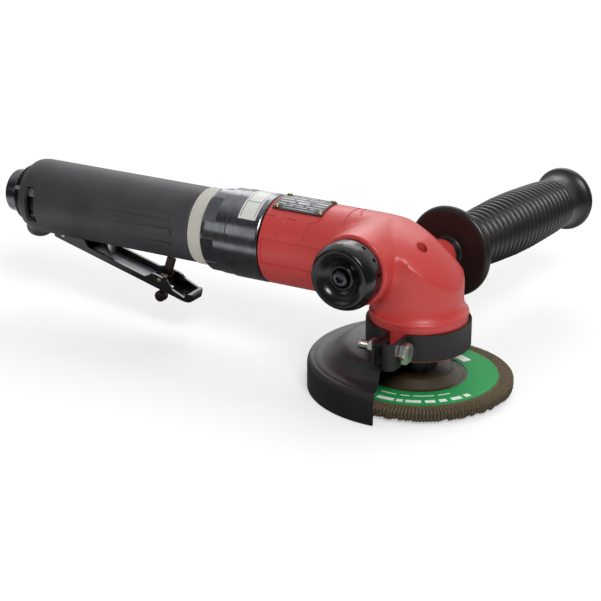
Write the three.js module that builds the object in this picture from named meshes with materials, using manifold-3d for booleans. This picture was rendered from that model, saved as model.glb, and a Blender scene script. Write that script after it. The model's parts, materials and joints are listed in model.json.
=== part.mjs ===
// Air-driven angle grinder with a 100 mm depressed-centre wheel, wheel guard and side handle.
// Millimetres. +Z runs up the spindle, +X points over the front of the head, the motor lies along -X,
// the side handle stands out along +Y. The origin is the centre of the spindle's lower end face.
import * as THREE from "three";
import { mergeVertices } from "three/addons/utils/BufferGeometryUtils.js";
import Module from "manifold-3d";

const wasm = await Module();
wasm.setup();

// ---- Clearances ----
const runGap = 0.12; // radial gap of turning and sliding fits
const seatGap = 0.05; // gap between pieces that are screwed or pressed together
const skewGap = 0.3; // gap between pieces that meet in turned groups

// ---- Roundness of turned pieces ----
const fineSides = 40;
const wideSides = 28;
const midSides = 20;
const smallSides = 12;

// ---- Main axes ----
const axisHeight = 63.2; // motor axis above the spindle's end face

// ---- Grinding wheel ----
const wheelRadius = 50;
const wheelThickness = 5;
const wheelDrop = 1; // rim face below the spindle's end face
const hubRise = 4.5; // depth of the depressed centre
const hubRadius = 18;
const hubSlopeRadius = 23.5;
const wheelBore = 8;
const labelInner = 26;
const labelOuter = 42;
const labelThickness = 0.3;

// ---- Spindle, its nut and flange ----
const threadRadius = 5;
const journalRadius = 7.5;
const spindleTopRadius = 4;
const flangeRadius = 10.2;
const flangeHeight = 6.5;
const wrenchFlats = 17;
const pilotHeight = 2.2;
const nutRadius = 14;
const nutLift = 0.4; // nut's lower face above the spindle's end face
const spannerHole = 1.6;
const spannerCircle = 10.5;

// ---- Head casting ----
const neckBottom = 20;
const bandSeatRadius = 25.5;
const lipRadius = 26.2;
const lipBottom = 36.2;
const lipTop = 41.5;
const neckRadius = 23.8;
const barrelRadius = 23.6;
const barrelRear = -83;
const spigotRadius = 20.9;
const spigotRear = -108.4;
const domeAcross = 40; // crown radius across the oblique face
const domeAlong = 100; // crown radius along the oblique face
const domeX = -34.6;
const domeDrop = 76.6; // centre of the crown's curves below the motor axis
const browX = -24; // centre of the ellipsoid that rounds the crown down to the neck
const browDrop = 19.2;
const browLength = 48.3;
const browWidth = 41.3;
const browHeight = 42.7;
const easingRadius = 90; // ball that eases the crown down toward the side handle
const easingX = -41.5;
const easingY = -30.8;
const easingDrop = 54.1;
const crownRear = -26; // behind this the barrel is plain
const domeNeckDrop = 13.2; // this far below the motor axis the neck starts to follow the crown
const chamberRadius = 19.6;
const chamberDrop = 6.2; // ceiling of the gear chamber below the motor axis
const atticRadius = 12;
const atticRise = 3.3; // ceiling over the bevel gear above the motor axis
const greaseX = 5;
const greaseY = -9;
const greaseRadius = 2.6;
const greasePlugLength = 4;
const greasePlugRise = 9; // top of the grease plug above the motor axis

// ---- Bearings: inner radius, outer radius, width ----
const lowerBearingOuter = 17.5;
const lowerBearingWidth = 11;
const lowerBearingBottom = 26;
const frontBearingBore = 5;
const frontBearingOuter = 13;
const frontBearingWidth = 8;
const frontBearingFront = -26.6;
const rearBearingBore = 4;
const rearBearingOuter = 11;
const rearBearingWidth = 7;
const upperBushOuter = 6;
const upperBushHeight = 6.5;
const ringShare = 0.26; // wall of a bearing ring over its radial section
const ballsInBearing = 7;
const retainerRadius = 19;

// ---- Bevel gears ----
const gearTeeth = 19;
const pinionTeeth = 13;
const coneDistance = 19;
const gearFace = 5.5;
const toothAddendum = 1.15;
const toothDedendum = 1.65;
const toothRootShare = 0.3; // half width of a tooth at its root over one pitch
const toothTipShare = 0.12; // half width of a tooth at its tip over one pitch
const gearHubRadius = 11;
const gearWebDrop = 6;
const pinionHubRadius = 7;

// ---- Air motor ----
const motorBore = 19;
const linerWall = 2.7;
const linerOffset = 1.5;
const rotorRadius = 14.5;
const rotorFront = -44.6;
const rotorRear = -97.3;
const vaneCount = 4;
const vaneThickness = 1.3;
const vaneHeight = 7;
const vaneSlotDepth = 7.6;
const frontPlateThickness = 6;
const rearPlateThickness = 6.3;
const exhaustSlotRadius = 2;
const exhaustSlots = 4;

// ---- Clamp collar, fibre ring and throttle housing ----
const collarRadius = 23.2;
const collarRear = -119;
const collarLip = 2.5;
const collarLipBore = 19.3;
const collarStepX = -103;
const collarStep = 0.5;
const notchCount = 6;
const notchLength = 9;
const notchWidth = 15.5;
const notchDepth = 1.3;
const fibreRadius = 21;
const fibreWidth = 8.4;
const housingRadius = 17.8;
const housingFlange = 20.9;
const airBore = 5.2;
const outletBore = 3.5;
const outletDrop = 12.7; // outlet passage below the motor axis

// ---- Handle grip ----
const gripRadius = 20.6;
const gripRear = -242;
const gripChamferStart = -237;
const gripRearRadius = 16.9;
const gripRearWall = 1.4;
const gripRearTaper = 1.6;
const gripMouth = 16.3;
const heelX = -240.3;
const heelDrop = 19; // centre of the heel below the motor axis
const heelLength = 8.2;
const heelWidth = 9.5;
const heelDepth = 6.2;
const leverSlotRear = -228;
const leverSlotFront = -184;
const leverSlotWidth = 17.4;
const windowRear = -235.4;
const windowFront = -229.2;
const windowTop = 30; // degrees above the -Y side
const windowBottom = -31;

// ---- Inlet and regulator ----
const inletFace = -255.6;
const inletFlange = 12.1;
const inletFlangeWidth = 8.9;
const inletNeck = 9.6;
const inletThread = 5.7;
const inletBarrel = 9;
const inletDepth = -234.6;
const screenX = -238.5;
const screenThickness = 0.8;
const screenHole = 0.9;
const regulatorKnob = 15.95;
const regulatorRear = -246.7;
const regulatorWeb = 1.6;
const regulatorSleeve = 17.6;
const regulatorWall = 1.5;
const regulatorLength = 18.1;

// ---- Throttle lever ----
const hingeX = -219;
const hingeDrop = 18.8; // hinge pin below the motor axis
const leverPitch = 15.1; // degrees below the motor axis at rest
const leverWidth = 15;
const leverSheet = 1.5;
const leverFloor = 3.5; // underside of the floor below the hinge pin
const leverWall = 4;
const leverHeel = -6;
const leverNoseX = 84.6;
const leverNoseRadius = 3.3;
const hingeCheekEnd = 14;
const hingeCheekTop = 3;
const lockEarLength = 13;
const leverPinRadius = 1.5;
const hingeLugWidth = 11.4;
const hingeLugRadius = 3.2;
const leverRelief = 3; // space in the housing above the cheeks by the hinge

// ---- Safety lock lever ----
const lockX = -155;
const lockDrop = 34.2; // lock lever's pin below the motor axis
const lockLean = 17.7; // degrees forward of upright at rest
const lockTab = 11.5;
const lockTail = 12.8;
const lockThickness = 3;
const lockHubRadius = 3;
const lockTabWidth = 5;
const lockKnobRadius = 3;
const lockKnobLength = 9;
const lockPinRadius = 1.3;
const lockSlotWidth = 4.4;
const lockSlotRear = 9;
const lockSlotFront = 6;
const lockSpringRadius = 2.2;
const lockSpringWire = 0.3;
const lockSpringTurns = 3;

// ---- Throttle valve ----
const valveX = -192;
const plungerRadius = 2.5;
const plungerDrop = 27.3; // plunger's lower end below the motor axis
const guideDrop = 14.2; // top of the plunger's guide below the motor axis
const underSeatRadius = 4;
const seatDrop = 9; // underside of the valve seat below the motor axis
const seatHeight = 2.3;
const seatBore = 3.4;
const valveChamber = 6;
const poppetRadius = 4.9;
const poppetHeight = 3.2;
const stemRadius = 1.9;
const stemHeight = 4;
const valveSpringRadius = 3.6;
const valveSpringWire = 0.5;
const valveSpringTurns = 4;
const valveSpringRise = 7.4; // top of the valve spring above the motor axis
const valveCapRise = 16.3; // top of the valve cap above the motor axis

// ---- Exhaust cap ----
const capX = -22.2;
const capRise = 2.8; // cap axis above the motor axis
const capSeat = -32; // y of the seat face on the head
const capRadius = 17.9;
const capFrontRadius = 16.6;
const capHeight = 14;
const capWall = 2.2;
const capDishRadius = 12.4;
const capDishDepth = 4;
const capPostRadius = 5.4;
const capHoles = 12;
const capHoleRadius = 1.2;
const capBossRadius = 19.2;
const capBossFlare = 20;
const pocketRadius = 12.5; // exhaust pocket under the cap
const pocketPost = 5.4;
const pocketDepth = 11.5;
const ductRadius = 2.6; // from the motor bore to the pocket
const ductY = -19.8;
const ductOverrun = 16; // length of the duct that lies open along the motor bore
const capScrewRadius = 2.5;
const capScrewHead = 4.2;
const capScrewHeadHeight = 4;
const capScrewLength = 17;
const hexSocket = 2;

// ---- Side handle ----
const handleX = -1.2;
const handleY = 37.7;
const handleDrop = 4.2; // handle's axis at its flange below the motor axis
const handleCant = 6; // degrees forward of +Y
const handleDroop = 1.9; // degrees down
const handleBossRadius = 8.6;
const handleBossEnd = -6;
const handleHubRadius = 7.2;
const handleHubEnd = -5.6;
const handleFlangeRadius = 24.6;
const handleFlangeBack = -1.6;
const handleFlangeFront = 2.2;
const handleNeckRadius = 14.4;
const handleNeckEnd = 24;
const handleBellyRadius = 17;
const handleBellyAt = 70;
const handleWaistRadius = 13.6;
const handleWaistAt = 117;
const handleRimRadius = 18.3;
const handleRimAt = 127.6;
const handleEnd = 131;
const handleEndRound = 8; // reach of the rounding on the handle's outer end
const studRadius = 5;
const studInHead = 20;
const studInGrip = 60;

// ---- Name plate ----
const plateRear = -81;
const plateFront = -50;
const plateAngle = 82; // degrees above the -Y side
const plateSpan = 46; // degrees of arc
const plateThickness = 0.8;
const rivetInset = 2.6;
const rivetInsetAngle = 6;
const rivetHead = 1.7;
const rivetShank = 0.8;
const rivetFloor = 1.6; // casting left between a rivet and the motor bore

// ---- Wheel guard and its clamp ----
const sheet = 1.6;
const guardRadius = 57.4;
const guardTop = 13.65;
const guardBottom = -3;
const guardBend = 2.6;
const stepInner = 39.5;
const stepOuter = 43;
const bandWall = 1.6;
const bandTopGap = 0.9; // space between the band and the lip
const bandBottom = 21.25;
const cutInnerX = -4.7;
const cutInnerY = 28;
const cutOuterX = 3.5;
const cutOuterY = 57.3;
const earGapRear = -3.7;
const earGapFront = 5.2;
const earEnd = -40;
const earGapReach = 8.6; // reach of the gap between the ears outside the neck
const earCurlRadius = 3.7;
const boltY = -32;
const boltRise = 6.75; // clamp bolt above the band's lower edge
const boltRadius = 2.5;
const boltHeadFlats = 10;
const boltHeadHeight = 3.5;
const boltTip = -17.6;
const nutFlats = 8;
const nutHeight = 4.6;

// ---- Heights that follow the motor axis ----
const domeZ = axisHeight - domeDrop;
const domeNeckTop = axisHeight - domeNeckDrop;
const chamberTop = axisHeight - chamberDrop;
const atticTop = axisHeight + atticRise;
const greasePlugTop = axisHeight + greasePlugRise;
const lockZ = axisHeight - lockDrop;
const plungerBottom = axisHeight - plungerDrop;
const guideTop = axisHeight - guideDrop;
const seatBottom = axisHeight - seatDrop;
const valveSpringTop = axisHeight + valveSpringRise;
const valveCapTop = axisHeight + valveCapRise;
const handleZ = axisHeight - handleDrop;

// ---- Lengths that follow other sizes ----
const regulatorFront = regulatorRear + regulatorLength;
const rivetLength = barrelRadius - motorBore - rivetFloor;
const bandTop = lipBottom - bandTopGap;
const boltZ = bandBottom + boltRise;

// ---------------------------------------------------------------------------------------------------
// Shape helpers. Every turned profile is a list of (radius, height) points about the local Z axis.

const degrees = THREE.MathUtils.degToRad;
const point = (radius, height) => new THREE.Vector2(radius, height);

// A three.js geometry as a manifold solid, with shared vertices merged and zero triangles dropped.
function solid(geometry) {
  const bare = geometry.clone();
  bare.deleteAttribute("normal");
  bare.deleteAttribute("uv");
  const merged = mergeVertices(bare, 1e-4);
  const corners = merged.index.array;
  const kept = [];
  for (let i = 0; i < corners.length; i += 3) {
    const [a, b, c] = [corners[i], corners[i + 1], corners[i + 2]];
    if (a !== b && b !== c && c !== a) kept.push(a, b, c);
  }
  const vertProperties = merged.attributes.position.array;
  return new wasm.Manifold(new wasm.Mesh({ numProp: 3, vertProperties, triVerts: new Uint32Array(kept) }));
}

// A profile turned about Z. Profiles off the axis are closed on themselves.
function turned(profile, sides) {
  const ordered = THREE.ShapeUtils.area(profile) < 0 ? [...profile].reverse() : [...profile];
  const onAxis = ordered[0].x === 0 && ordered[ordered.length - 1].x === 0;
  if (!onAxis) ordered.push(ordered[0].clone());
  return new THREE.LatheGeometry(ordered, sides).rotateX(Math.PI / 2);
}

// A plain rod from low to high on Z.
function rod(radius, low, high, sides) {
  return turned([point(0, low), point(radius, low), point(radius, high), point(0, high)], sides);
}

// A plain tube from low to high on Z.
function tube(inner, outer, low, high, sides) {
  return turned([point(inner, low), point(outer, low), point(outer, high), point(inner, high)], sides);
}

// A box between two corners.
function block(x0, x1, y0, y1, z0, z1) {
  const box = new THREE.BoxGeometry(x1 - x0, y1 - y0, z1 - z0);
  return box.translate((x0 + x1) / 2, (y0 + y1) / 2, (z0 + z1) / 2);
}

// A hexagonal prism on Z, given the distance across its flats.
function hexagon(flats, low, high) {
  return rod(flats / Math.sqrt(3), low, high, 6).rotateZ(Math.PI / 6);
}

// Local Z onto world X at the motor axis; local X then points down.
const motorLine = new THREE.Matrix4().makeRotationY(Math.PI / 2).setPosition(0, 0, axisHeight);

// Local Z onto -Y at the exhaust cap's seat.
const capLine = new THREE.Matrix4()
  .makeRotationX(Math.PI / 2)
  .setPosition(capX, capSeat, axisHeight + capRise);

// Local Z along the side handle, out of its flange.
const handleLine = new THREE.Matrix4()
  .makeRotationFromEuler(new THREE.Euler(-Math.PI / 2 - degrees(handleDroop), 0, -degrees(handleCant), "ZYX"))
  .setPosition(handleX, handleY, handleZ);

// Local X along the throttle lever's floor, from the hinge pin.
const leverLine = new THREE.Matrix4()
  .makeRotationY(degrees(leverPitch))
  .setPosition(hingeX, 0, axisHeight - hingeDrop);

// Local Z up the safety lock lever, from its pin.
const lockLine = new THREE.Matrix4().makeRotationY(degrees(lockLean)).setPosition(lockX, 0, lockZ);

// Local Z along the clamp bolt, from the ear to its head.
const boltLine = new THREE.Matrix4().makeRotationY(Math.PI / 2).setPosition(0, boltY, boltZ);

const placed = (geometry, line) => solid(geometry.clone().applyMatrix4(line));

// A manifold solid back to a three.js geometry, carried into a group's own frame.
function meshGeometry(body, line) {
  const { vertProperties, triVerts } = body.getMesh();
  const geometry = new THREE.BufferGeometry();
  geometry.setAttribute("position", new THREE.BufferAttribute(vertProperties, 3));
  geometry.setIndex(new THREE.BufferAttribute(triVerts, 1));
  return line ? geometry.applyMatrix4(line.clone().invert()) : geometry;
}

// ---------------------------------------------------------------------------------------------------
// Finishes

const finishes = {
  redPaint: [0xc5403f, 0.45, 0.1],
  blackComposite: [0x39393c, 0.6, 0],
  blackSteel: [0x1c1c1e, 0.35, 0.7],
  steel: [0xb9babb, 0.35, 0.9],
  bearingSteel: [0xc4c6c8, 0.2, 0.95],
  aluminium: [0xa9abad, 0.4, 0.8],
  castIron: [0x6a6866, 0.6, 0.6],
  brass: [0xb79a55, 0.35, 0.8],
  zinc: [0xc9cbc6, 0.4, 0.8],
  fibre: [0xc9c7bc, 0.9, 0],
  rubber: [0x1d1c1c, 0.7, 0],
  plastic: [0x7a5a38, 0.6, 0],
  abrasive: [0x4a3f2c, 0.95, 0],
  paper: [0x2a9a58, 0.6, 0],
};

const grinder = new THREE.Group();

const lines = { world: null, motorLine, capLine, handleLine, leverLine, lockLine, boltLine };
const groups = {};
for (const [name, line] of Object.entries(lines)) {
  groups[name] = new THREE.Group();
  if (line) line.decompose(groups[name].position, groups[name].quaternion, groups[name].scale);
  grinder.add(groups[name]);
}

// Adds one named piece. A piece built in its group's frame passes a geometry; one cut in the world frame
// passes a manifold solid.
function add(name, shape, finish, group = "world") {
  const [color, roughness, metalness] = finishes[finish];
  const material = new THREE.MeshStandardMaterial({ color, roughness, metalness });
  const body = shape.isBufferGeometry ? solid(shape) : shape;
  const geometry = meshGeometry(body, shape.isBufferGeometry ? null : lines[group]);
  const mesh = new THREE.Mesh(geometry, material);
  mesh.name = name;
  groups[group].add(mesh);
}

// ---------------------------------------------------------------------------------------------------
// Grinding wheel and what holds it

const rimBottom = -wheelDrop;
const rimTop = rimBottom + wheelThickness;
const hubBottom = rimBottom + hubRise;
const hubTop = hubBottom + wheelThickness;
const flangeTop = hubTop + flangeHeight;

function wheelGeometry() {
  return turned(
    [
      point(wheelBore, hubBottom),
      point(hubRadius, hubBottom),
      point(hubSlopeRadius, rimBottom),
      point(wheelRadius, rimBottom),
      point(wheelRadius, rimTop),
      point(hubSlopeRadius + 1, rimTop),
      point(hubRadius + 1, hubTop),
      point(wheelBore, hubTop),
    ],
    fineSides,
  );
}

function flangeSolid() {
  const body = solid(
    turned(
      [
        point(threadRadius + seatGap, hubTop - pilotHeight),
        point(wheelBore - seatGap, hubTop - pilotHeight),
        point(wheelBore - seatGap, hubTop),
        point(flangeRadius, hubTop),
        point(flangeRadius, flangeTop),
        point(threadRadius + seatGap, flangeTop),
      ],
      midSides,
    ),
  );
  const flatsBottom = hubTop + pilotHeight;
  const beyond = 2 * flangeRadius;
  const flats = [1, -1].map((side) => {
    const inner = (side * wrenchFlats) / 2;
    const outer = side * beyond;
    return solid(
      block(Math.min(inner, outer), Math.max(inner, outer), -beyond, beyond, flatsBottom, flangeTop + 1),
    );
  });
  return body.subtract(flats[0]).subtract(flats[1]);
}

function nutSolid() {
  const top = hubBottom;
  const pilotTop = hubBottom + pilotHeight;
  let nut = solid(
    turned(
      [
        point(threadRadius + seatGap, nutLift),
        point(nutRadius - 0.8, nutLift),
        point(nutRadius, nutLift + 0.8),
        point(nutRadius, top),
        point(wheelBore - seatGap, top),
        point(wheelBore - seatGap, pilotTop),
        point(threadRadius + seatGap, pilotTop),
      ],
      midSides,
    ),
  );
  for (const side of [1, -1]) {
    const hole = rod(spannerHole, nutLift - 1, top + 1, smallSides).translate(side * spannerCircle, 0, 0);
    nut = nut.subtract(solid(hole));
  }
  return nut;
}

// ---------------------------------------------------------------------------------------------------
// Spindle line

const bearingTop = lowerBearingBottom + lowerBearingWidth;
const pitchAngle = Math.atan2(pinionTeeth, gearTeeth); // pinion's cone
const gearPitchRadius = coneDistance * Math.cos(pitchAngle);
const pinionPitchRadius = coneDistance * Math.sin(pitchAngle);
const gearPlane = axisHeight - pinionPitchRadius; // gear's large end, on Z
const gearTop = gearPlane + gearFace * Math.sin(pitchAngle);
const pinionPlane = gearPitchRadius; // pinion's large end, behind the spindle axis
const upperBushBottom = atticTop + 0.6;
const spindleTop = upperBushBottom + upperBushHeight - 0.4;

function spindleGeometry() {
  return turned(
    [
      point(0, 0),
      point(threadRadius - 0.8, 0),
      point(threadRadius, 0.8),
      point(threadRadius, flangeTop),
      point(journalRadius + 1.2, flangeTop),
      point(journalRadius + 1.2, lowerBearingBottom - 1.2),
      point(journalRadius, lowerBearingBottom - 1.2),
      point(journalRadius, bearingTop + seatGap),
      point(threadRadius + 1, bearingTop + seatGap),
      point(threadRadius + 1, gearTop + 1),
      point(spindleTopRadius, gearTop + 3),
      point(spindleTopRadius, spindleTop),
      point(0, spindleTop),
    ],
    midSides,
  );
}

// Straight bevel teeth: the gear's outline at its large end, drawn in to the cone's apex.
function bevelTeeth(teeth, pitchRadius, coneHeight, faceHeight, firstTooth) {
  const steepness = Math.hypot(pitchRadius, coneHeight) / coneHeight;
  const tip = pitchRadius + toothAddendum * steepness;
  const root = pitchRadius - toothDedendum * steepness;
  const pitch = (2 * Math.PI) / teeth;
  const outline = new THREE.Shape();
  for (let i = 0; i < teeth; i += 1) {
    const middle = firstTooth + i * pitch;
    const corners = [
      [root, -toothRootShare],
      [tip, -toothTipShare],
      [tip, toothTipShare],
      [root, toothRootShare],
    ];
    for (const [radius, share] of corners) {
      const angle = middle + share * pitch;
      const move = i === 0 && share === -toothRootShare ? "moveTo" : "lineTo";
      outline[move](radius * Math.cos(angle), radius * Math.sin(angle));
    }
  }
  outline.closePath();
  const geometry = new THREE.ExtrudeGeometry(outline, { depth: faceHeight, bevelEnabled: false, steps: 1 });
  const places = geometry.attributes.position;
  for (let i = 0; i < places.count; i += 1) {
    const shrink = 1 - places.getZ(i) / coneHeight;
    places.setX(i, places.getX(i) * shrink);
    places.setY(i, places.getY(i) * shrink);
  }
  return { geometry, root };
}

function bevelGearSolid() {
  const faceHeight = gearTop - gearPlane;
  const { geometry, root } = bevelTeeth(gearTeeth, gearPitchRadius, pinionPitchRadius, faceHeight, Math.PI);
  const blank = turned(
    [
      point(0, bearingTop + 2 * seatGap),
      point(gearHubRadius, bearingTop + 2 * seatGap),
      point(gearHubRadius, gearPlane - gearWebDrop),
      point(root, gearPlane - gearWebDrop / 2),
      point(root, gearPlane + 0.2),
      point(0, gearPlane + 0.2),
    ],
    midSides,
  );
  const bore = rod(threadRadius + 1 + seatGap, lowerBearingBottom, axisHeight, midSides);
  return solid(geometry.translate(0, 0, gearPlane)).add(solid(blank)).subtract(solid(bore));
}

function pinionSolid() {
  const faceHeight = gearFace * Math.cos(pitchAngle);
  const gapDown = Math.PI / pinionTeeth; // local X points down, where a gap meets the gear's tooth
  const { geometry, root } = bevelTeeth(pinionTeeth, pinionPitchRadius, pinionPlane, faceHeight, gapDown);
  const hub = turned(
    [
      point(0, frontBearingFront + seatGap),
      point(pinionHubRadius, frontBearingFront + seatGap),
      point(pinionHubRadius, -pinionPlane - 2),
      point(root, -pinionPlane),
      point(root, 0.2 - pinionPlane),
      point(0, 0.2 - pinionPlane),
    ],
    midSides,
  );
  const bore = rod(rearBearingBore + seatGap, rotorRear, 0, midSides);
  return solid(geometry.translate(0, 0, -pinionPlane)).add(solid(hub)).subtract(solid(bore));
}

// ---------------------------------------------------------------------------------------------------
// Ball bearings, on their own local Z

function bearingRings(bore, outer, low, high, sides) {
  const wall = (outer - bore) * ringShare;
  const cage = (bore + outer) / 2;
  const ball = (outer - bore) / 2 - wall - skewGap;
  const middle = (low + high) / 2;
  let balls = solid(tube(cage - wall / 3, cage + wall / 3, middle - ball / 2, middle + ball / 2, smallSides));
  for (let i = 0; i < ballsInBearing; i += 1) {
    const angle = (2 * Math.PI * i) / ballsInBearing;
    const sphere = new THREE.SphereGeometry(ball, 6, 4);
    sphere.translate(cage * Math.cos(angle), cage * Math.sin(angle), middle);
    balls = balls.add(solid(sphere));
  }
  return {
    inner: tube(bore + seatGap, bore + wall, low, high, sides),
    outer: tube(outer - wall, outer - seatGap, low, high, sides),
    balls,
  };
}

function addBearing(name, bore, outer, low, high, group) {
  const { inner, outer: race, balls } = bearingRings(bore, outer, low, high, midSides);
  const inGroup = lines[group];
  add(`${name}_inner`, inner, "bearingSteel", group);
  add(`${name}_outer`, race, "bearingSteel", group);
  add(`${name}_balls`, inGroup ? balls.transform(inGroup.elements) : balls, "steel", group);
}

// ---------------------------------------------------------------------------------------------------
// Head casting: motor barrel, spindle neck and domed oblique face

// Crown of the oblique face: an arc in the plane of symmetry, rounded across.
function crown() {
  const shift = domeAlong - domeAcross;
  const steps = 14;
  const profile = [point(0, -domeAcross)];
  for (let i = 0; i <= steps; i += 1) {
    const angle = Math.PI * (i / steps - 0.5);
    profile.push(point(shift + domeAcross * Math.cos(angle), domeAcross * Math.sin(angle)));
  }
  profile.push(point(0, domeAcross));
  return turned(profile, fineSides).rotateX(Math.PI / 2).translate(domeX, 0, domeZ);
}

function ellipsoid(length, width, height) {
  const steps = 20;
  const profile = [];
  for (let i = 0; i <= steps; i += 1) {
    const angle = Math.PI * (i / steps - 0.5);
    const radius = i === 0 || i === steps ? 0 : length * Math.cos(angle);
    profile.push(point(radius, height * Math.sin(angle)));
  }
  return turned(profile, fineSides).scale(1, width / length, 1);
}

// Round solid that brings the crown down to the neck, lower on the side handle's side.
function brow() {
  const round = ellipsoid(browLength, browWidth, browHeight);
  const easing = ellipsoid(easingRadius, easingRadius, easingRadius);
  round.translate(browX, 0, axisHeight - browDrop);
  easing.translate(easingX, easingY, axisHeight - easingDrop);
  return solid(round).intersect(solid(easing));
}

// Everything the casting may fill: the crown's solid, the barrel behind it and the neck below it.
function castingLimit() {
  const wide = 2 * domeAlong;
  const behind = block(2 * spigotRear, crownRear, -wide, wide, -wide, 2 * wide);
  const below = block(-wide, wide, -wide, wide, -wide, domeNeckTop);
  return solid(crown()).intersect(brow()).add(solid(behind)).add(solid(below));
}

function neckGeometry() {
  return turned(
    [
      point(0, neckBottom),
      point(bandSeatRadius, neckBottom),
      point(bandSeatRadius, lipBottom - seatGap),
      point(lipRadius, lipBottom + 1.2),
      point(lipRadius, lipTop - 2),
      point(neckRadius + 0.6, lipTop),
      point(neckRadius, lipTop + 3),
      point(neckRadius, axisHeight + 2 * barrelRadius),
      point(0, axisHeight + 2 * barrelRadius),
    ],
    wideSides,
  );
}

function barrelGeometry() {
  return turned(
    [
      point(0, spigotRear),
      point(spigotRadius, spigotRear),
      point(spigotRadius, barrelRear),
      point(barrelRadius, barrelRear),
      point(barrelRadius, 0),
      point(0, 0),
    ],
    wideSides,
  );
}

function capBossGeometry() {
  return turned(
    [point(0, capSeat), point(capBossFlare, capSeat), point(capBossRadius, 0), point(0, 0)],
    wideSides,
  );
}

// Room for the guard's clamp band round the foot of the neck, also under a barrel that lies lower.
function bandRelief() {
  const room = bandTop + bandTopGap / 2;
  return tube(bandSeatRadius + runGap, 2 * bandSeatRadius, neckBottom - 1, room, wideSides);
}

// Bores of the casting on the spindle line.
function spindleBores() {
  return turned(
    [
      point(0, neckBottom - 1),
      point(retainerRadius + seatGap, neckBottom - 1),
      point(retainerRadius + seatGap, lowerBearingBottom),
      point(lowerBearingOuter, lowerBearingBottom),
      point(lowerBearingOuter, bearingTop),
      point(lowerBearingOuter - 2, bearingTop),
      point(chamberRadius, bearingTop + 5),
      point(chamberRadius, chamberTop),
      point(atticRadius, atticTop),
      point(upperBushOuter, atticTop),
      point(upperBushOuter, upperBushBottom + upperBushHeight),
      point(0, upperBushBottom + upperBushHeight),
    ],
    midSides,
  );
}

const frontBearingRear = frontBearingFront - frontBearingWidth;
const pinionPassage = frontBearingOuter - 0.4;

// Bores of the casting on the motor line.
function motorBores() {
  return turned(
    [
      point(0, spigotRear - 1),
      point(motorBore, spigotRear - 1),
      point(motorBore, rotorFront + frontPlateThickness + 0.5),
      point(frontBearingOuter, rotorFront + frontPlateThickness + 0.5),
      point(frontBearingOuter, frontBearingFront),
      point(pinionPassage, frontBearingFront),
      point(pinionPassage, -rearBearingBore),
      point(0, -rearBearingBore),
    ],
    midSides,
  );
}

// Exhaust pocket round the screw's post, and the duct that feeds it from the motor bore.
function exhaustPassages() {
  const pocket = tube(pocketPost, pocketRadius, -pocketDepth, 1, midSides);
  const screwHole = rod(capScrewRadius + runGap, -capScrewLength, 1, smallSides);
  const duct = rod(ductRadius, rotorFront - ductOverrun, capX, smallSides).rotateY(Math.PI / 2);
  return placed(pocket, capLine)
    .add(placed(screwHole, capLine))
    .add(solid(duct.translate(0, ductY, axisHeight)));
}

function headSolid() {
  const inner = -(studInHead + 2);
  const cast = solid(neckGeometry())
    .add(placed(barrelGeometry(), motorLine))
    .intersect(castingLimit())
    .add(placed(capBossGeometry(), capLine).intersect(solid(block(-90, 90, capSeat - 1, 0, 0, 200))))
    .add(placed(rod(handleBossRadius, inner, handleBossEnd, midSides), handleLine));
  return cast
    .subtract(solid(spindleBores()))
    .subtract(placed(motorBores(), motorLine))
    .subtract(exhaustPassages())
    .subtract(placed(rod(studRadius + skewGap, inner, 1, midSides), handleLine))
    .subtract(solid(greaseHole(greaseRadius + seatGap, 100)))
    .subtract(plateRivetHoles())
    .subtract(solid(bandRelief()));
}

function greaseHole(radius, top) {
  return rod(radius, greasePlugTop - greasePlugLength, top, smallSides).translate(greaseX, greaseY, 0);
}

function greasePlug() {
  const low = greasePlugTop - greasePlugLength + seatGap;
  const socket = hexagon(hexSocket, greasePlugTop - 2, greasePlugTop + 1);
  const body = solid(rod(greaseRadius, low, greasePlugTop, smallSides)).subtract(solid(socket));
  return body.translate([greaseX, greaseY, 0]);
}

function retainerSolid() {
  let ring = solid(
    turned(
      [
        point(journalRadius + 1.2 + runGap, neckBottom + 0.4),
        point(retainerRadius, neckBottom + 0.4),
        point(retainerRadius, lowerBearingBottom - seatGap),
        point(lowerBearingOuter - 3.2, lowerBearingBottom - seatGap),
        point(lowerBearingOuter - 3.2, lowerBearingBottom - 1.5),
        point(journalRadius + 1.2 + runGap, lowerBearingBottom - 1.5),
      ],
      midSides,
    ),
  );
  for (const side of [1, -1]) {
    const hole = rod(spannerHole, neckBottom - 1, neckBottom + 3, smallSides);
    ring = ring.subtract(solid(hole.translate(side * 1.35 * spannerCircle, 0, 0)));
  }
  return ring;
}

// ---------------------------------------------------------------------------------------------------
// Name plate and its rivets, bent over the top of the barrel

const plateInner = barrelRadius + seatGap;
const plateOuter = plateInner + plateThickness;

// A strip of tube wall on the motor line, between two angles above the -Y side.
function wallStrip(inner, outer, fromAngle, toAngle, low, high) {
  const shape = new THREE.Shape();
  const [start, end] = [degrees(fromAngle), degrees(toAngle)];
  shape.absarc(0, 0, outer, start, end, false);
  shape.absarc(0, 0, inner, end, start, true);
  shape.closePath();
  const strip = new THREE.ExtrudeGeometry(shape, {
    depth: high - low,
    bevelEnabled: false,
    steps: 1,
    curveSegments: 10,
  });
  return strip.rotateX(Math.PI / 2).rotateZ(-Math.PI / 2).translate(high, 0, 0);
}

// Rivet places: x and the angle above the -Y side.
const rivetPlaces = [1, -1].flatMap((end) =>
  [1, -1].map((side) => ({
    x: (plateRear + plateFront) / 2 + end * ((plateFront - plateRear) / 2 - rivetInset),
    angle: plateAngle + side * (plateSpan / 2 - rivetInsetAngle),
  })),
);

// Local Z out of the barrel at a rivet, from the motor axis.
function rivetLine({ x, angle }) {
  return new THREE.Matrix4()
    .makeRotationX(Math.PI / 2 - degrees(angle))
    .setPosition(x, 0, axisHeight);
}

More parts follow.
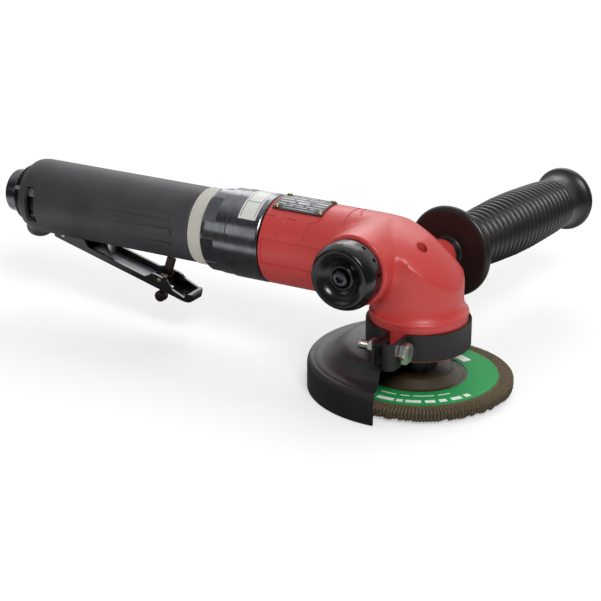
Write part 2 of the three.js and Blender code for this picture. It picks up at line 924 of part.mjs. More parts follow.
function plateRivetHoles() {
  const hole = rod(rivetShank + skewGap, barrelRadius - rivetLength, plateOuter + 1, 8);
  return rivetPlaces
    .map((place) => placed(hole, rivetLine(place)))
    .reduce((all, one) => all.add(one));
}

function rivetGeometry() {
  return turned(
    [
      point(0, barrelRadius - rivetLength + skewGap),
      point(rivetShank, barrelRadius - rivetLength + skewGap),
      point(rivetShank, plateOuter + skewGap),
      point(rivetHead, plateOuter + skewGap),
      point(rivetHead * 0.75, plateOuter + skewGap + 0.55),
      point(0, plateOuter + skewGap + 0.8),
    ],
    10,
  );
}

function addNamePlate() {
  const strip = wallStrip(
    plateInner + skewGap / 3,
    plateOuter + skewGap / 3,
    plateAngle - plateSpan / 2,
    plateAngle + plateSpan / 2,
    plateRear,
    plateFront,
  );
  const plate = solid(strip.translate(0, 0, axisHeight)).subtract(plateRivetHoles());
  add("name_plate", plate, "aluminium");
  rivetPlaces.forEach((place, index) => {
    add(`plate_rivet_${index + 1}`, placed(rivetGeometry(), rivetLine(place)), "brass");
  });
}

// ---------------------------------------------------------------------------------------------------
// Air motor, on the motor line

const linerRear = rotorRear - 0.2;
const linerFront = rotorFront + 0.2;
const linerOuter = motorBore - seatGap;
const linerBore = linerOuter - linerWall;
const rearPlateRear = linerRear - rearPlateThickness;
const rearBearingFront = rearPlateRear - 1;
const rearBearingRear = rearBearingFront - rearBearingWidth;

function linerSolid() {
  const bore = rod(linerBore - linerOffset / 2, linerRear - 1, linerFront + 1, midSides);
  let liner = solid(rod(linerOuter, linerRear, linerFront, midSides));
  liner = liner.subtract(solid(bore.translate(linerOffset / 2, 0, 0)));
  for (let i = 0; i < exhaustSlots; i += 1) {
    const along = linerFront - 8 - i * (2 * exhaustSlotRadius + 2);
    const slot = rod(exhaustSlotRadius, 0, 2 * motorBore, smallSides).rotateX(Math.PI / 2);
    liner = liner.subtract(solid(slot.translate(0, 0, along)));
  }
  return liner.transform(motorLine.elements);
}

function frontPlateGeometry() {
  const low = linerFront;
  return turned(
    [
      point(frontBearingBore + 0.4, low),
      point(linerOuter, low),
      point(linerOuter, low + frontPlateThickness),
      point(frontBearingOuter - 0.2, low + frontPlateThickness),
      point(frontBearingOuter - 0.2, frontBearingRear - seatGap),
      point(frontBearingOuter - 2, frontBearingRear - seatGap),
      point(frontBearingOuter - 2, low + frontPlateThickness - 2),
      point(frontBearingBore + 0.4, low + frontPlateThickness - 2),
    ],
    midSides,
  );
}

const bossRadius = rearBearingOuter + 2.6;

function rearPlateSolid() {
  const body = turned(
    [
      point(rearBearingBore + 0.4, linerRear),
      point(linerOuter, linerRear),
      point(linerOuter, rearPlateRear),
      point(bossRadius, rearPlateRear),
      point(bossRadius, rearBearingRear),
      point(rearBearingOuter, rearBearingRear),
      point(rearBearingOuter, rearBearingFront),
      point(rearBearingBore + 0.4, rearBearingFront),
    ],
    midSides,
  );
  let plate = solid(body);
  for (const side of [1, -1]) {
    const inlet = rod(1.4, rearPlateRear - 1, linerRear + 1, smallSides);
    inlet.translate(-0.4 * motorBore, (side * (bossRadius + linerOuter)) / 2.6, 0);
    plate = plate.subtract(solid(inlet));
  }
  return plate.transform(motorLine.elements);
}

function rotorSolid() {
  let body = solid(
    turned(
      [
        point(0, rearBearingRear),
        point(rearBearingBore, rearBearingRear),
        point(rearBearingBore, rotorRear - 3),
        point(rearBearingBore, rotorRear),
        point(rotorRadius, rotorRear),
        point(rotorRadius, rotorFront),
        point(frontBearingBore, rotorFront),
        point(frontBearingBore, frontBearingFront),
        point(rearBearingBore, frontBearingFront),
        point(rearBearingBore, 1.5 - pinionPlane + gearFace * Math.cos(pitchAngle)),
        point(0, 1.5 - pinionPlane + gearFace * Math.cos(pitchAngle)),
      ],
      midSides,
    ),
  );
  for (let i = 0; i < vaneCount; i += 1) {
    const slot = vaneBlock(vaneThickness + 2 * runGap, rotorRadius - vaneSlotDepth, 2 * rotorRadius, 1);
    body = body.subtract(solid(slot.rotateZ((2 * Math.PI * i) / vaneCount)));
  }
  return body.transform(motorLine.elements);
}

// A vane-shaped block on the motor line, along local X.
function vaneBlock(thickness, inner, outer, overrun) {
  return block(inner, outer, -thickness / 2, thickness / 2, rotorRear - overrun, rotorFront + overrun);
}

function addMotor() {
  add("cylinder_liner", linerSolid(), "castIron", "motorLine");
  add("front_end_plate", frontPlateGeometry(), "castIron", "motorLine");
  add("rear_end_plate", rearPlateSolid(), "castIron", "motorLine");
  add("rotor", rotorSolid(), "steel", "motorLine");
  for (let i = 0; i < vaneCount; i += 1) {
    const outer = rotorRadius - seatGap;
    const vane = vaneBlock(vaneThickness, outer - vaneHeight, outer, -seatGap);
    add(`vane_${i + 1}`, vane.rotateZ((2 * Math.PI * i) / vaneCount), "plastic", "motorLine");
  }
  addBearing(
    "front_bearing",
    frontBearingBore,
    frontBearingOuter,
    frontBearingRear,
    frontBearingFront,
    "motorLine",
  );
  addBearing("rear_bearing", rearBearingBore, rearBearingOuter, rearBearingRear, rearBearingFront, "motorLine");
  add("bevel_pinion", pinionSolid().transform(motorLine.elements), "steel", "motorLine");
}

// ---------------------------------------------------------------------------------------------------
// Clamp collar, fibre ring and throttle housing

const collarFront = barrelRear - 0.3;
const collarBore = spigotRadius + seatGap;
const housingFlangeRear = collarRear + collarLip + seatGap;

function collarSolid() {
  let collar = solid(
    turned(
      [
        point(collarLipBore, collarRear),
        point(collarRadius - 0.8, collarRear),
        point(collarRadius, collarRear + 0.8),
        point(collarRadius, collarStepX),
        point(collarRadius + collarStep, collarStepX + 0.8),
        point(collarRadius + collarStep, collarFront),
        point(collarBore, collarFront),
        point(collarBore, collarRear + collarLip),
        point(collarLipBore, collarRear + collarLip),
      ],
      wideSides,
    ),
  );
  for (let i = 0; i < notchCount; i += 1) {
    const notch = block(
      collarRadius - notchDepth,
      2 * collarRadius,
      -notchWidth / 2,
      notchWidth / 2,
      collarRear - 1,
      collarRear + notchLength,
    );
    collar = collar.subtract(solid(notch.rotateZ((2 * Math.PI * (i + 0.5)) / notchCount)));
  }
  return collar.transform(motorLine.elements);
}

const valveAxis = (geometry) => solid(geometry.translate(valveX, 0, 0));
const webRear = gripRear + gripRearWall + gripRearTaper + skewGap;
const webFront = webRear + regulatorWeb;
const housingRear = webFront + runGap;
const sleeveSeat = regulatorSleeve - regulatorWall - runGap;
const noseFront = rearPlateRear - seatGap;

function throttleHousingSolid() {
  const sleeveFront = regulatorFront + 0.4;
  const body = turned(
    [
      point(0, housingRear),
      point(sleeveSeat, housingRear),
      point(sleeveSeat, sleeveFront),
      point(housingRadius, sleeveFront),
      point(housingRadius, collarRear - fibreWidth),
      point(collarLipBore - seatGap, collarRear - fibreWidth),
      point(collarLipBore - seatGap, housingFlangeRear),
      point(housingFlange, housingFlangeRear),
      point(housingFlange, spigotRear - seatGap),
      point(motorBore - skewGap, spigotRear - seatGap),
      point(motorBore - skewGap, noseFront),
      point(0, noseFront),
    ],
    wideSides,
  );
  const inletBores = turned(
    [
      point(0, housingRear - 1),
      point(inletBarrel + seatGap, housingRear - 1),
      point(inletBarrel + seatGap, inletDepth),
      point(airBore, inletDepth),
      point(airBore, valveX),
      point(0, valveX),
    ],
    midSides,
  );
  const pocket = rod(bossRadius + 0.3, rearBearingRear - 2, noseFront + 1, midSides);
  const outlet = rod(outletBore, valveX, rearBearingRear - 1, smallSides).translate(outletDrop, 0, 0);
  const valveBores = turned(
    [
      point(0, 0),
      point(plungerRadius + runGap, 0),
      point(plungerRadius + runGap, guideTop),
      point(underSeatRadius, guideTop),
      point(underSeatRadius, seatBottom),
      point(valveChamber, seatBottom),
      point(valveChamber, 2 * axisHeight),
      point(0, 2 * axisHeight),
    ],
    smallSides,
  );
  const pinZ = axisHeight - hingeDrop;
  const reliefTop = pinZ + hingeCheekTop + leverRelief;
  const lugHalf = hingeLugWidth / 2;
  const web = block(hingeX - hingeLugRadius, hingeX + hingeLugRadius, -lugHalf, lugHalf, pinZ, reliefTop + 1);
  const eye = rod(hingeLugRadius, -lugHalf, lugHalf, smallSides).rotateX(Math.PI / 2);
  const pinBore = rod(leverPinRadius + seatGap, -hingeLugWidth, hingeLugWidth, smallSides);
  const reliefHalf = leverWidth / 2 + skewGap;
  const relief = block(
    hingeX + leverHeel - 2,
    hingeX + hingeCheekEnd + 4,
    -reliefHalf,
    reliefHalf,
    0,
    reliefTop,
  );
  return placed(body, motorLine)
    .subtract(solid(relief))
    .add(solid(web))
    .add(solid(eye.translate(hingeX, 0, pinZ)))
    .subtract(placed(inletBores, motorLine))
    .subtract(placed(pocket, motorLine))
    .subtract(placed(outlet, motorLine))
    .subtract(valveAxis(valveBores))
    .subtract(solid(pinBore.rotateX(Math.PI / 2).translate(hingeX, 0, pinZ)));
}

// ---------------------------------------------------------------------------------------------------
// Handle grip with its heel, lever slot and regulator window

const gripBore = housingRadius + 0.2;
const gripFront = collarRear - fibreWidth - seatGap;

function gripSolid() {
  const outside = turned(
    [
      point(0, gripRear),
      point(gripRearRadius, gripRear),
      point(gripRadius - 1.2, gripChamferStart - 2.6),
      point(gripRadius, gripChamferStart),
      point(gripRadius, gripFront),
      point(0, gripFront),
    ],
    wideSides,
  );
  const inside = turned(
    [
      point(0, gripRear - heelLength),
      point(gripMouth, gripRear - heelLength),
      point(gripMouth, gripRear + gripRearWall),
      point(gripBore, gripRear + gripRearWall + gripRearTaper),
      point(gripBore, gripFront + 1),
      point(0, gripFront + 1),
    ],
    wideSides,
  );
  const heel = new THREE.SphereGeometry(1, 16, 10).scale(heelLength, heelWidth, heelDepth);
  heel.translate(heelX, 0, axisHeight - heelDrop);
  const half = leverSlotWidth / 2;
  const slot = block(leverSlotRear, leverSlotFront, -half, half, 0, axisHeight - housingRadius + 3);
  const opening = wallStrip(gripBore - 1, 1.5 * gripRadius, windowBottom, windowTop, windowRear, windowFront);
  return placed(outside, motorLine)
    .add(solid(heel))
    .subtract(placed(inside, motorLine))
    .subtract(solid(slot))
    .subtract(solid(opening.translate(0, 0, axisHeight)));
}

// ---------------------------------------------------------------------------------------------------
// Inlet bushing, screen and regulator ring

function inletGeometry() {
  const inside = inletFace + inletFlangeWidth;
  return turned(
    [
      point(inletThread, inletFace),
      point(inletFlange - 0.6, inletFace),
      point(inletFlange, inletFace + 0.6),
      point(inletFlange, inside),
      point(inletNeck, inside),
      point(inletNeck, housingRear - seatGap),
      point(inletBarrel, housingRear - seatGap),
      point(inletBarrel, inletDepth - seatGap),
      point(inletThread - 1, inletDepth - seatGap),
      point(inletThread - 1, screenX),
      point(inletThread, screenX),
    ],
    midSides,
  );
}

function screenSolid() {
  const screenFront = screenX - seatGap;
  let screen = solid(rod(inletThread - seatGap, screenFront - screenThickness, screenFront, midSides));
  for (let i = 0; i < 7; i += 1) {
    const ring = i === 0 ? 0 : 3 * screenHole;
    const angle = (2 * Math.PI * i) / 6;
    const hole = rod(screenHole, screenX - 3, screenX + 1, 6);
    screen = screen.subtract(solid(hole.translate(ring * Math.cos(angle), ring * Math.sin(angle), 0)));
  }
  return screen.transform(motorLine.elements);
}

function regulatorGeometry() {
  const bore = inletNeck + runGap;
  return turned(
    [
      point(bore, regulatorRear + seatGap),
      point(regulatorKnob - 0.5, regulatorRear + seatGap),
      point(regulatorKnob, regulatorRear + 0.6),
      point(regulatorKnob, webRear),
      point(regulatorSleeve, webRear),
      point(regulatorSleeve, regulatorFront),
      point(regulatorSleeve - regulatorWall, regulatorFront),
      point(regulatorSleeve - regulatorWall, webFront),
      point(bore, webFront),
    ],
    wideSides,
  );
}

// ---------------------------------------------------------------------------------------------------
// Throttle lever, its lock and the valve under it

const floorTop = leverSheet - leverFloor;
const lockHome = new THREE.Vector3(lockX, 0, lockZ).applyMatrix4(leverLine.clone().invert());

function leverSide() {
  const wallTop = leverWall - leverFloor;
  const earTop = lockHome.z + lockHubRadius - 0.6;
  const shape = new THREE.Shape();
  shape.moveTo(leverHeel, -leverFloor);
  shape.lineTo(leverNoseX, -leverFloor);
  shape.lineTo(leverNoseX, wallTop - 1.6);
  shape.lineTo(lockHome.x + lockEarLength / 2 + 2, wallTop);
  shape.lineTo(lockHome.x + lockEarLength / 2 - 2, earTop);
  shape.lineTo(lockHome.x - lockEarLength / 2 + 1, earTop);
  shape.lineTo(lockHome.x - lockEarLength / 2 - 2, wallTop);
  shape.lineTo(hingeCheekEnd + 3, wallTop);
  shape.lineTo(hingeCheekEnd, hingeCheekTop);
  shape.lineTo(leverHeel, hingeCheekTop);
  shape.closePath();
  const hinge = new THREE.Path();
  hinge.absarc(0, 0, leverPinRadius + runGap, 0, 2 * Math.PI, true);
  const lock = new THREE.Path();
  lock.absarc(lockHome.x, lockHome.z, lockPinRadius + seatGap, 0, 2 * Math.PI, true);
  shape.holes.push(hinge, lock);
  const wall = new THREE.ExtrudeGeometry(shape, {
    depth: leverSheet,
    bevelEnabled: false,
    steps: 1,
    curveSegments: 12,
  });
  return wall.rotateX(Math.PI / 2);
}

function leverSolid() {
  const half = leverWidth / 2;
  const floor = block(hingeLugRadius + 1, leverNoseX, -half, half, -leverFloor, floorTop);
  const slot = block(
    lockHome.x - lockSlotRear,
    lockHome.x + lockSlotFront,
    -lockSlotWidth / 2,
    lockSlotWidth / 2,
    -leverFloor - 1,
    floorTop + 1,
  );
  const nose = rod(leverNoseRadius, -half, half, smallSides)
    .rotateX(Math.PI / 2)
    .translate(leverNoseX, 0, leverNoseRadius - leverFloor);
  return solid(floor)
    .add(solid(leverSide().translate(0, half, 0)))
    .add(solid(leverSide().translate(0, leverSheet - half, 0)))
    .add(solid(nose))
    .subtract(solid(slot))
    .transform(leverLine.elements);
}

function lockLeverSolid() {
  const half = lockThickness / 2;
  const width = lockTabWidth / 2;
  const hub = rod(lockHubRadius, -half, half, smallSides).rotateX(Math.PI / 2);
  const plate = block(-width + 0.6, width - 0.6, -half, half, -lockTail, lockTab);
  const knob = rod(lockKnobRadius, -lockKnobLength / 2, lockKnobLength / 2, smallSides);
  const pinBore = rod(lockPinRadius + runGap, -lockThickness, lockThickness, smallSides);
  return solid(hub)
    .add(solid(plate))
    .add(solid(block(-width, width, -half, half, lockTab - 4, lockTab)))
    .add(solid(knob.rotateX(Math.PI / 2).translate(0, 0, -lockTail)))
    .subtract(solid(pinBore.rotateX(Math.PI / 2)))
    .transform(lockLine.elements);
}

// A coil of round wire on local Z.
function coil(radius, wire, low, high, turns) {
  class Helix extends THREE.Curve {
    getPoint(t, target = new THREE.Vector3()) {
      const angle = 2 * Math.PI * turns * t;
      return target.set(radius * Math.cos(angle), radius * Math.sin(angle), low + (high - low) * t);
    }
  }
  const section = new THREE.Shape();
  section.absarc(0, 0, wire, 0, 2 * Math.PI, false);
  return new THREE.ExtrudeGeometry(section, {
    steps: turns * 10,
    curveSegments: 3,
    extrudePath: new Helix(),
    bevelEnabled: false,
  });
}

function lockSpringSolid() {
  const inside = leverWidth / 2 - leverSheet;
  const low = lockThickness / 2 + lockSpringWire + 2 * runGap;
  const high = inside - lockSpringWire - runGap;
  const spring = coil(lockSpringRadius, lockSpringWire, low, high, lockSpringTurns);
  return placed(spring.rotateX(Math.PI / 2), lockLine);
}

function pinSolid(radius, halfLength, x, z) {
  return solid(rod(radius, -halfLength, halfLength, smallSides).rotateX(Math.PI / 2).translate(x, 0, z));
}

const seatTop = seatBottom + seatHeight;

function plungerGeometry() {
  return turned(
    [
      point(0, plungerBottom),
      point(plungerRadius * 0.6, plungerBottom),
      point(plungerRadius, plungerBottom + 1),
      point(plungerRadius, seatTop - 0.2),
      point(0, seatTop - 0.2),
    ],
    smallSides,
  ).translate(valveX, 0, 0);
}

function poppetGeometry() {
  const low = seatTop + seatGap;
  return turned(
    [
      point(0, low),
      point(poppetRadius, low),
      point(poppetRadius, low + poppetHeight - 1),
      point(stemRadius, low + poppetHeight),
      point(stemRadius, low + poppetHeight + stemHeight),
      point(0, low + poppetHeight + stemHeight),
    ],
    smallSides,
  ).translate(valveX, 0, 0);
}

function addThrottle() {
  const pinZ = axisHeight - hingeDrop;
  const seat = tube(seatBore, valveChamber - 2 * seatGap, seatBottom + seatGap, seatTop, smallSides);
  const capBottom = valveSpringTop + valveSpringWire + seatGap;
  const cap = solid(rod(valveChamber - 2 * seatGap, capBottom, valveCapTop, smallSides))
    .subtract(solid(hexagon(2 * hexSocket, valveCapTop - 3, valveCapTop + 1)));
  const springBottom = seatTop + poppetHeight + valveSpringWire + runGap;
  const spring = coil(valveSpringRadius, valveSpringWire, springBottom, valveSpringTop, valveSpringTurns);
  add("throttle_lever", leverSolid(), "blackSteel", "leverLine");
  add("lever_pin", pinSolid(leverPinRadius, leverWidth / 2 + 0.4, hingeX, pinZ), "steel");
  add("lock_lever", lockLeverSolid(), "castIron", "lockLine");
  add("lock_lever_pin", pinSolid(lockPinRadius, leverWidth / 2 + 0.4, lockX, lockZ), "zinc");
  add("lock_spring", lockSpringSolid(), "steel", "lockLine");
  add("valve_plunger", plungerGeometry(), "steel");
  add("throttle_valve", poppetGeometry(), "brass");
  add("valve_seat", seat.translate(valveX, 0, 0), "brass");
  add("valve_spring", spring.translate(valveX, 0, 0), "steel");
  add("valve_cap", cap.translate([valveX, 0, 0]), "brass");
}

// ---------------------------------------------------------------------------------------------------
// Exhaust cap

function exhaustCapSolid() {
  const rimFront = capHeight - 1.5;
  const dishTop = capHeight - capDishDepth;
  let cap = solid(
    turned(
      [
        point(0, 0),
        point(capRadius, 0),
        point(capRadius, 4),
        point(capFrontRadius + 0.6, rimFront - 3),
        point(capFrontRadius, rimFront),
        point(capFrontRadius - 2, capHeight),
        point(capDishRadius, capHeight - 1),
        point(capPostRadius + 2.5, dishTop),
        point(0, dishTop),
      ],
      wideSides,
    ),
  );
  const hollow = turned(
    [
      point(capPostRadius, -1),
      point(capRadius - capWall, -1),
      point(capFrontRadius - capWall, rimFront - 3),
      point(capDishRadius - 1, dishTop - capWall),
      point(capPostRadius, dishTop - capWall),
    ],
    midSides,
  );
  cap = cap.subtract(solid(hollow)).subtract(solid(rod(capScrewRadius + runGap, -1, capHeight, smallSides)));
  for (let i = 0; i < capHoles; i += 1) {
    const hole = rod(capHoleRadius, capFrontRadius - 2 * capWall, 2 * capRadius, 6).rotateY(Math.PI / 2);
    cap = cap.subtract(solid(hole.translate(0, 0, capHeight / 2 - 1).rotateZ((2 * Math.PI * i) / capHoles)));
  }
  return cap.translate([0, 0, skewGap]).transform(capLine.elements);
}

function capScrewSolid() {
  const headBottom = capHeight - capDishDepth + 2 * skewGap;
  const headTop = headBottom + capScrewHeadHeight;
  const body = turned(
    [
      point(0, headBottom - capScrewLength),
      point(capScrewRadius, headBottom - capScrewLength),
      point(capScrewRadius, headBottom),
      point(capScrewHead, headBottom),
      point(capScrewHead, headTop - 0.4),
      point(capScrewHead - 0.4, headTop),
      point(0, headTop),
    ],
    midSides,
  );
  const socket = solid(hexagon(2 * hexSocket, headTop - 2.4, headTop + 1));
  return solid(body).subtract(socket).transform(capLine.elements);
}

// ---------------------------------------------------------------------------------------------------
// Side handle

function sideHandleGeometry() {
  const bore = studRadius + runGap;
  return turned(
    [
      point(bore, handleHubEnd),
      point(handleHubRadius, handleHubEnd),
      point(handleHubRadius + 1, handleFlangeBack),
      point(handleFlangeRadius - 1, handleFlangeBack),
      point(handleFlangeRadius, (handleFlangeBack + handleFlangeFront) / 2),
      point(handleFlangeRadius - 1, handleFlangeFront),
      point(handleNeckRadius + 1.5, handleFlangeFront + 1.5),
      point(handleNeckRadius, handleFlangeFront + 6),
      point(handleNeckRadius + 0.6, handleNeckEnd),
      point((handleNeckRadius + 3 * handleBellyRadius) / 4, (handleNeckEnd + handleBellyAt) / 2),
      point(handleBellyRadius, handleBellyAt),
      point((handleWaistRadius + 2 * handleBellyRadius) / 3, (handleWaistAt + handleBellyAt) / 2),
      point(handleWaistRadius, handleWaistAt),
      point(handleRimRadius - 0.8, handleRimAt - 3.4),
      point(handleRimRadius, handleRimAt - 1.5),
      point(handleRimRadius, handleRimAt),
      point(handleRimRadius - 3, handleEnd - 1),
      point(handleRimRadius - handleEndRound, handleEnd),
      point(0, handleEnd),
      point(0, studInGrip + 1),
      point(bore, studInGrip + 1),
    ],
    wideSides,
  );
}

// ---------------------------------------------------------------------------------------------------
// Wheel guard and its clamp band

// Plan of what the open front of the guard leaves, as a prism.
function guardPlan() {
  const reach = 2.2;
  const farX = cutInnerX + reach * (cutOuterX - cutInnerX);
  const farY = cutInnerY + reach * (cutOuterY - cutInnerY);
  const shape = new THREE.Shape();
  shape.moveTo(cutInnerX, -cutInnerY);
  shape.lineTo(cutInnerX, cutInnerY);
  shape.lineTo(farX, farY);
  shape.lineTo(-2 * guardRadius, farY);
  shape.lineTo(-2 * guardRadius, -farY);
  shape.lineTo(farX, -farY);
  shape.closePath();
  return new THREE.ExtrudeGeometry(shape, { depth: 2 * guardRadius, bevelEnabled: false }).translate(
    0,
    0,
    -guardRadius,
  );
}

function guardSolid() {
  const top = guardTop;
  const low = guardTop - sheet;
  const step = bandBottom - 2 * seatGap;
  const inner = bandSeatRadius + skewGap;
  const bend = guardRadius - guardBend;
  const shell = turned(
    [
      point(inner, step - sheet),
      point(stepInner - 0.6, step - sheet),
      point(stepOuter - 0.6, low),
      point(bend, low),
      point(guardRadius - sheet, top - guardBend),
      point(guardRadius - sheet, guardBottom),
      point(guardRadius, guardBottom),
      point(guardRadius, top - guardBend),
      point(guardRadius - 0.3 * guardBend, top - 0.3 * guardBend),
      point(bend, top),
      point(stepOuter, top),
      point(stepInner, step),
      point(inner, step),
    ],
    fineSides,
  );
  return solid(shell).intersect(solid(guardPlan()));
}

function clampBandSolid() {
  const inner = bandSeatRadius + runGap + 0.1;
  const outer = inner + bandWall;
  const rearEar = block(earGapRear - bandWall, earGapRear, earEnd, -outer + 1.2, bandBottom, bandTop);
  const frontEar = block(
    earGapFront,
    earGapFront + bandWall,
    earEnd + earCurlRadius / 2,
    -outer + 2,
    bandBottom,
    bandTop,
  );
  const curl = rod(earCurlRadius, bandBottom, bandTop, 20).translate(
    earGapFront + bandWall - earCurlRadius,
    earEnd + 0.5,
    0,
  );
  const gap = block(earGapRear, earGapFront, -inner - earGapReach, 0, bandBottom - 1, bandTop + 1);
  const hole = rod(boltRadius + skewGap, boltTip, -boltTip, smallSides);
  return solid(tube(inner, outer, bandBottom, bandTop, fineSides))
    .subtract(solid(gap))
    .add(solid(rearEar))
    .add(solid(frontEar))
    .add(solid(curl))
    .subtract(placed(hole, boltLine));
}

const boltSeat = earGapFront + bandWall + skewGap;

function boltSolid() {
  const shank = rod(boltRadius, boltTip, boltSeat + 1, smallSides);
  const head = hexagon(boltHeadFlats, boltSeat, boltSeat + boltHeadHeight);
  const slotTop = boltSeat + boltHeadHeight;
  const slot = block(-boltHeadFlats, boltHeadFlats, -0.6, 0.6, slotTop - 1.2, slotTop + 1);
  return solid(shank).add(solid(head)).subtract(solid(slot)).transform(boltLine.elements);
}

function boltNutSolid() {
  const top = earGapRear - bandWall - skewGap;
  const nut = hexagon(nutFlats, top - nutHeight, top);
  const bore = rod(boltRadius + runGap, boltTip, 0, smallSides);
  return solid(nut).subtract(solid(bore)).transform(boltLine.elements);
}

// ---------------------------------------------------------------------------------------------------
// The whole tool

add("head_housing", headSolid(), "redPaint");
add("bearing_retainer", retainerSolid(), "blackSteel");
addBearing("lower_bearing", journalRadius, lowerBearingOuter, lowerBearingBottom, bearingTop, "world");
add(
  "upper_bearing",
  tube(
    spindleTopRadius + runGap,
    upperBushOuter - seatGap,
    upperBushBottom,
    upperBushBottom + upperBushHeight - 2 * seatGap,
    midSides,
  ),
  "brass",
);
add("spindle", spindleGeometry(), "steel");
add("bevel_gear", bevelGearSolid(), "steel");
add("wheel_flange", flangeSolid(), "blackSteel");
add("grinding_wheel", wheelGeometry(), "abrasive");
add("wheel_label", tube(labelInner, labelOuter, rimTop, rimTop + labelThickness, wideSides), "paper");
add("flange_nut", nutSolid(), "steel");

addNamePlate();
addMotor();

add("clamp_collar", collarSolid(), "blackSteel", "motorLine");
add(
  "fibre_ring",
  tube(collarLipBore, fibreRadius, collarRear - fibreWidth + seatGap, collarRear - seatGap, wideSides),
  "fibre",
  "motorLine",
);
add("throttle_housing", throttleHousingSolid(), "aluminium");
add("handle_grip", gripSolid(), "blackComposite");
add("inlet_bushing", inletGeometry(), "blackSteel", "motorLine");
add("inlet_screen", screenSolid(), "brass", "motorLine");
add("regulator_ring", regulatorGeometry(), "blackSteel", "motorLine");
addThrottle();

add("grease_plug", greasePlug(), "steel");
add("exhaust_cap", exhaustCapSolid(), "blackSteel", "capLine");
add("exhaust_cap_screw", capScrewSolid(), "steel", "capLine");
add("side_handle_grip", sideHandleGeometry(), "rubber", "handleLine");
add("side_handle_stud", rod(studRadius, -studInHead, studInGrip, midSides), "steel", "handleLine");

add("wheel_guard", guardSolid(), "blackSteel");
add("guard_clamp_band", clampBandSolid(), "blackSteel");
add("guard_clamp_bolt", boltSolid(), "zinc", "boltLine");
add("guard_clamp_nut", boltNutSolid(), "zinc", "boltLine");

export default grinder;
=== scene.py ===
"""Looks of an air-driven angle grinder with a 100 mm wheel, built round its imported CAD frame.

Lengths are written in millimetres in the part's own frame: +Z up the spindle, the motor along -X,
the side handle along +Y. A shape is made in millimetres and becomes metres when its piece is finished.
"""

import json
import logging
import math
import random
from dataclasses import dataclass
from enum import Enum
from typing import Any, Callable, Sequence

import bmesh
import bpy
from mathutils import Matrix, Vector


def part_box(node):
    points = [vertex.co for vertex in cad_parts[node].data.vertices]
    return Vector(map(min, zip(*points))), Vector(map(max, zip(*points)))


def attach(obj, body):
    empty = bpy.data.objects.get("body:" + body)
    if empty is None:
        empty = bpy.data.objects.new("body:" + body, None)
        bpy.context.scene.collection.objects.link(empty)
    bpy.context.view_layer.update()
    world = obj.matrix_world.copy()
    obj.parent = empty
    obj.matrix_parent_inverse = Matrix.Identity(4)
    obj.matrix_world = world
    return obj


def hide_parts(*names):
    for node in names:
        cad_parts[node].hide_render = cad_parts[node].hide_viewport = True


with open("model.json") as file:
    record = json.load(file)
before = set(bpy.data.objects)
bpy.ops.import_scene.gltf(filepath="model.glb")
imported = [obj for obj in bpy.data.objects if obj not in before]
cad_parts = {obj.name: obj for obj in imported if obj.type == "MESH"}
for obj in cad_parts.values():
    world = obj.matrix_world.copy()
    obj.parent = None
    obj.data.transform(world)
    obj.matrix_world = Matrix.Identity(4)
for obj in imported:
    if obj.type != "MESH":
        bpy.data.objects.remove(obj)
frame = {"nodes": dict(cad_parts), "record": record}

LOG = logging.getLogger("grinder")
MM = 0.001
SHARP = 38.0  # degrees between two faces past which their edge shows as an edge

Spot = tuple[float, ...]  # radius and height, or x and y, and the rounding of that corner if it has one
Place = Callable[[Vector], bool]
Range = tuple[Any, Any]  # two ends, each a number or a socket
Socket = bpy.types.NodeSocket


# ---------------------------------------------------------------------------------------------------
# Finishes


class Slot(Enum):
    """Material slots of the part's record."""

    RED_PAINT = "red_paint"
    BLACK_COMPOSITE = "black_composite"
    BLACK_STEEL = "black_steel"
    STEEL = "steel"
    BEARING_STEEL = "bearing_steel"
    ALUMINIUM = "aluminium"
    CAST_IRON = "cast_iron"
    BRASS = "brass"
    ZINC = "zinc"
    FIBRE = "fibre"
    RUBBER = "rubber"
    PLASTIC = "plastic"
    ABRASIVE = "abrasive"
    PAPER = "paper"


class Lay(Enum):
    """Direction that tool marks cross: the axis that the piece was turned on, or none."""

    ALONG_X = (1, 0, 0)
    ALONG_Y = (0, 1, 0)
    ALONG_Z = (0, 0, 1)
    NONE = (0, 0, 0)


def srgb(code: str) -> tuple[float, float, float, float]:
    """Turns an sRGB hex colour into linear values.

    Args:
        code: colour such as "#c5403f".

    Returns:
        Linear red, green, blue and an alpha of 1.
    """
    shown = [int(code[i : i + 2], 16) / 255 for i in (1, 3, 5)]
    linear = [c / 12.92 if c <= 0.04045 else ((c + 0.055) / 1.055) ** 2.4 for c in shown]
    return (linear[0], linear[1], linear[2], 1.0)


def per_metre(millimetres: float) -> float:
    """Returns the pattern scale whose features are about this many millimetres wide."""
    return 1 / (millimetres * MM)


def lay_scale(lay: Lay, across: float, along: float) -> tuple[float, float, float]:
    """Returns pattern scales for marks that are narrow on the turning axis and long round it."""
    return tuple(per_metre(across) if on else per_metre(along) for on in lay.value)


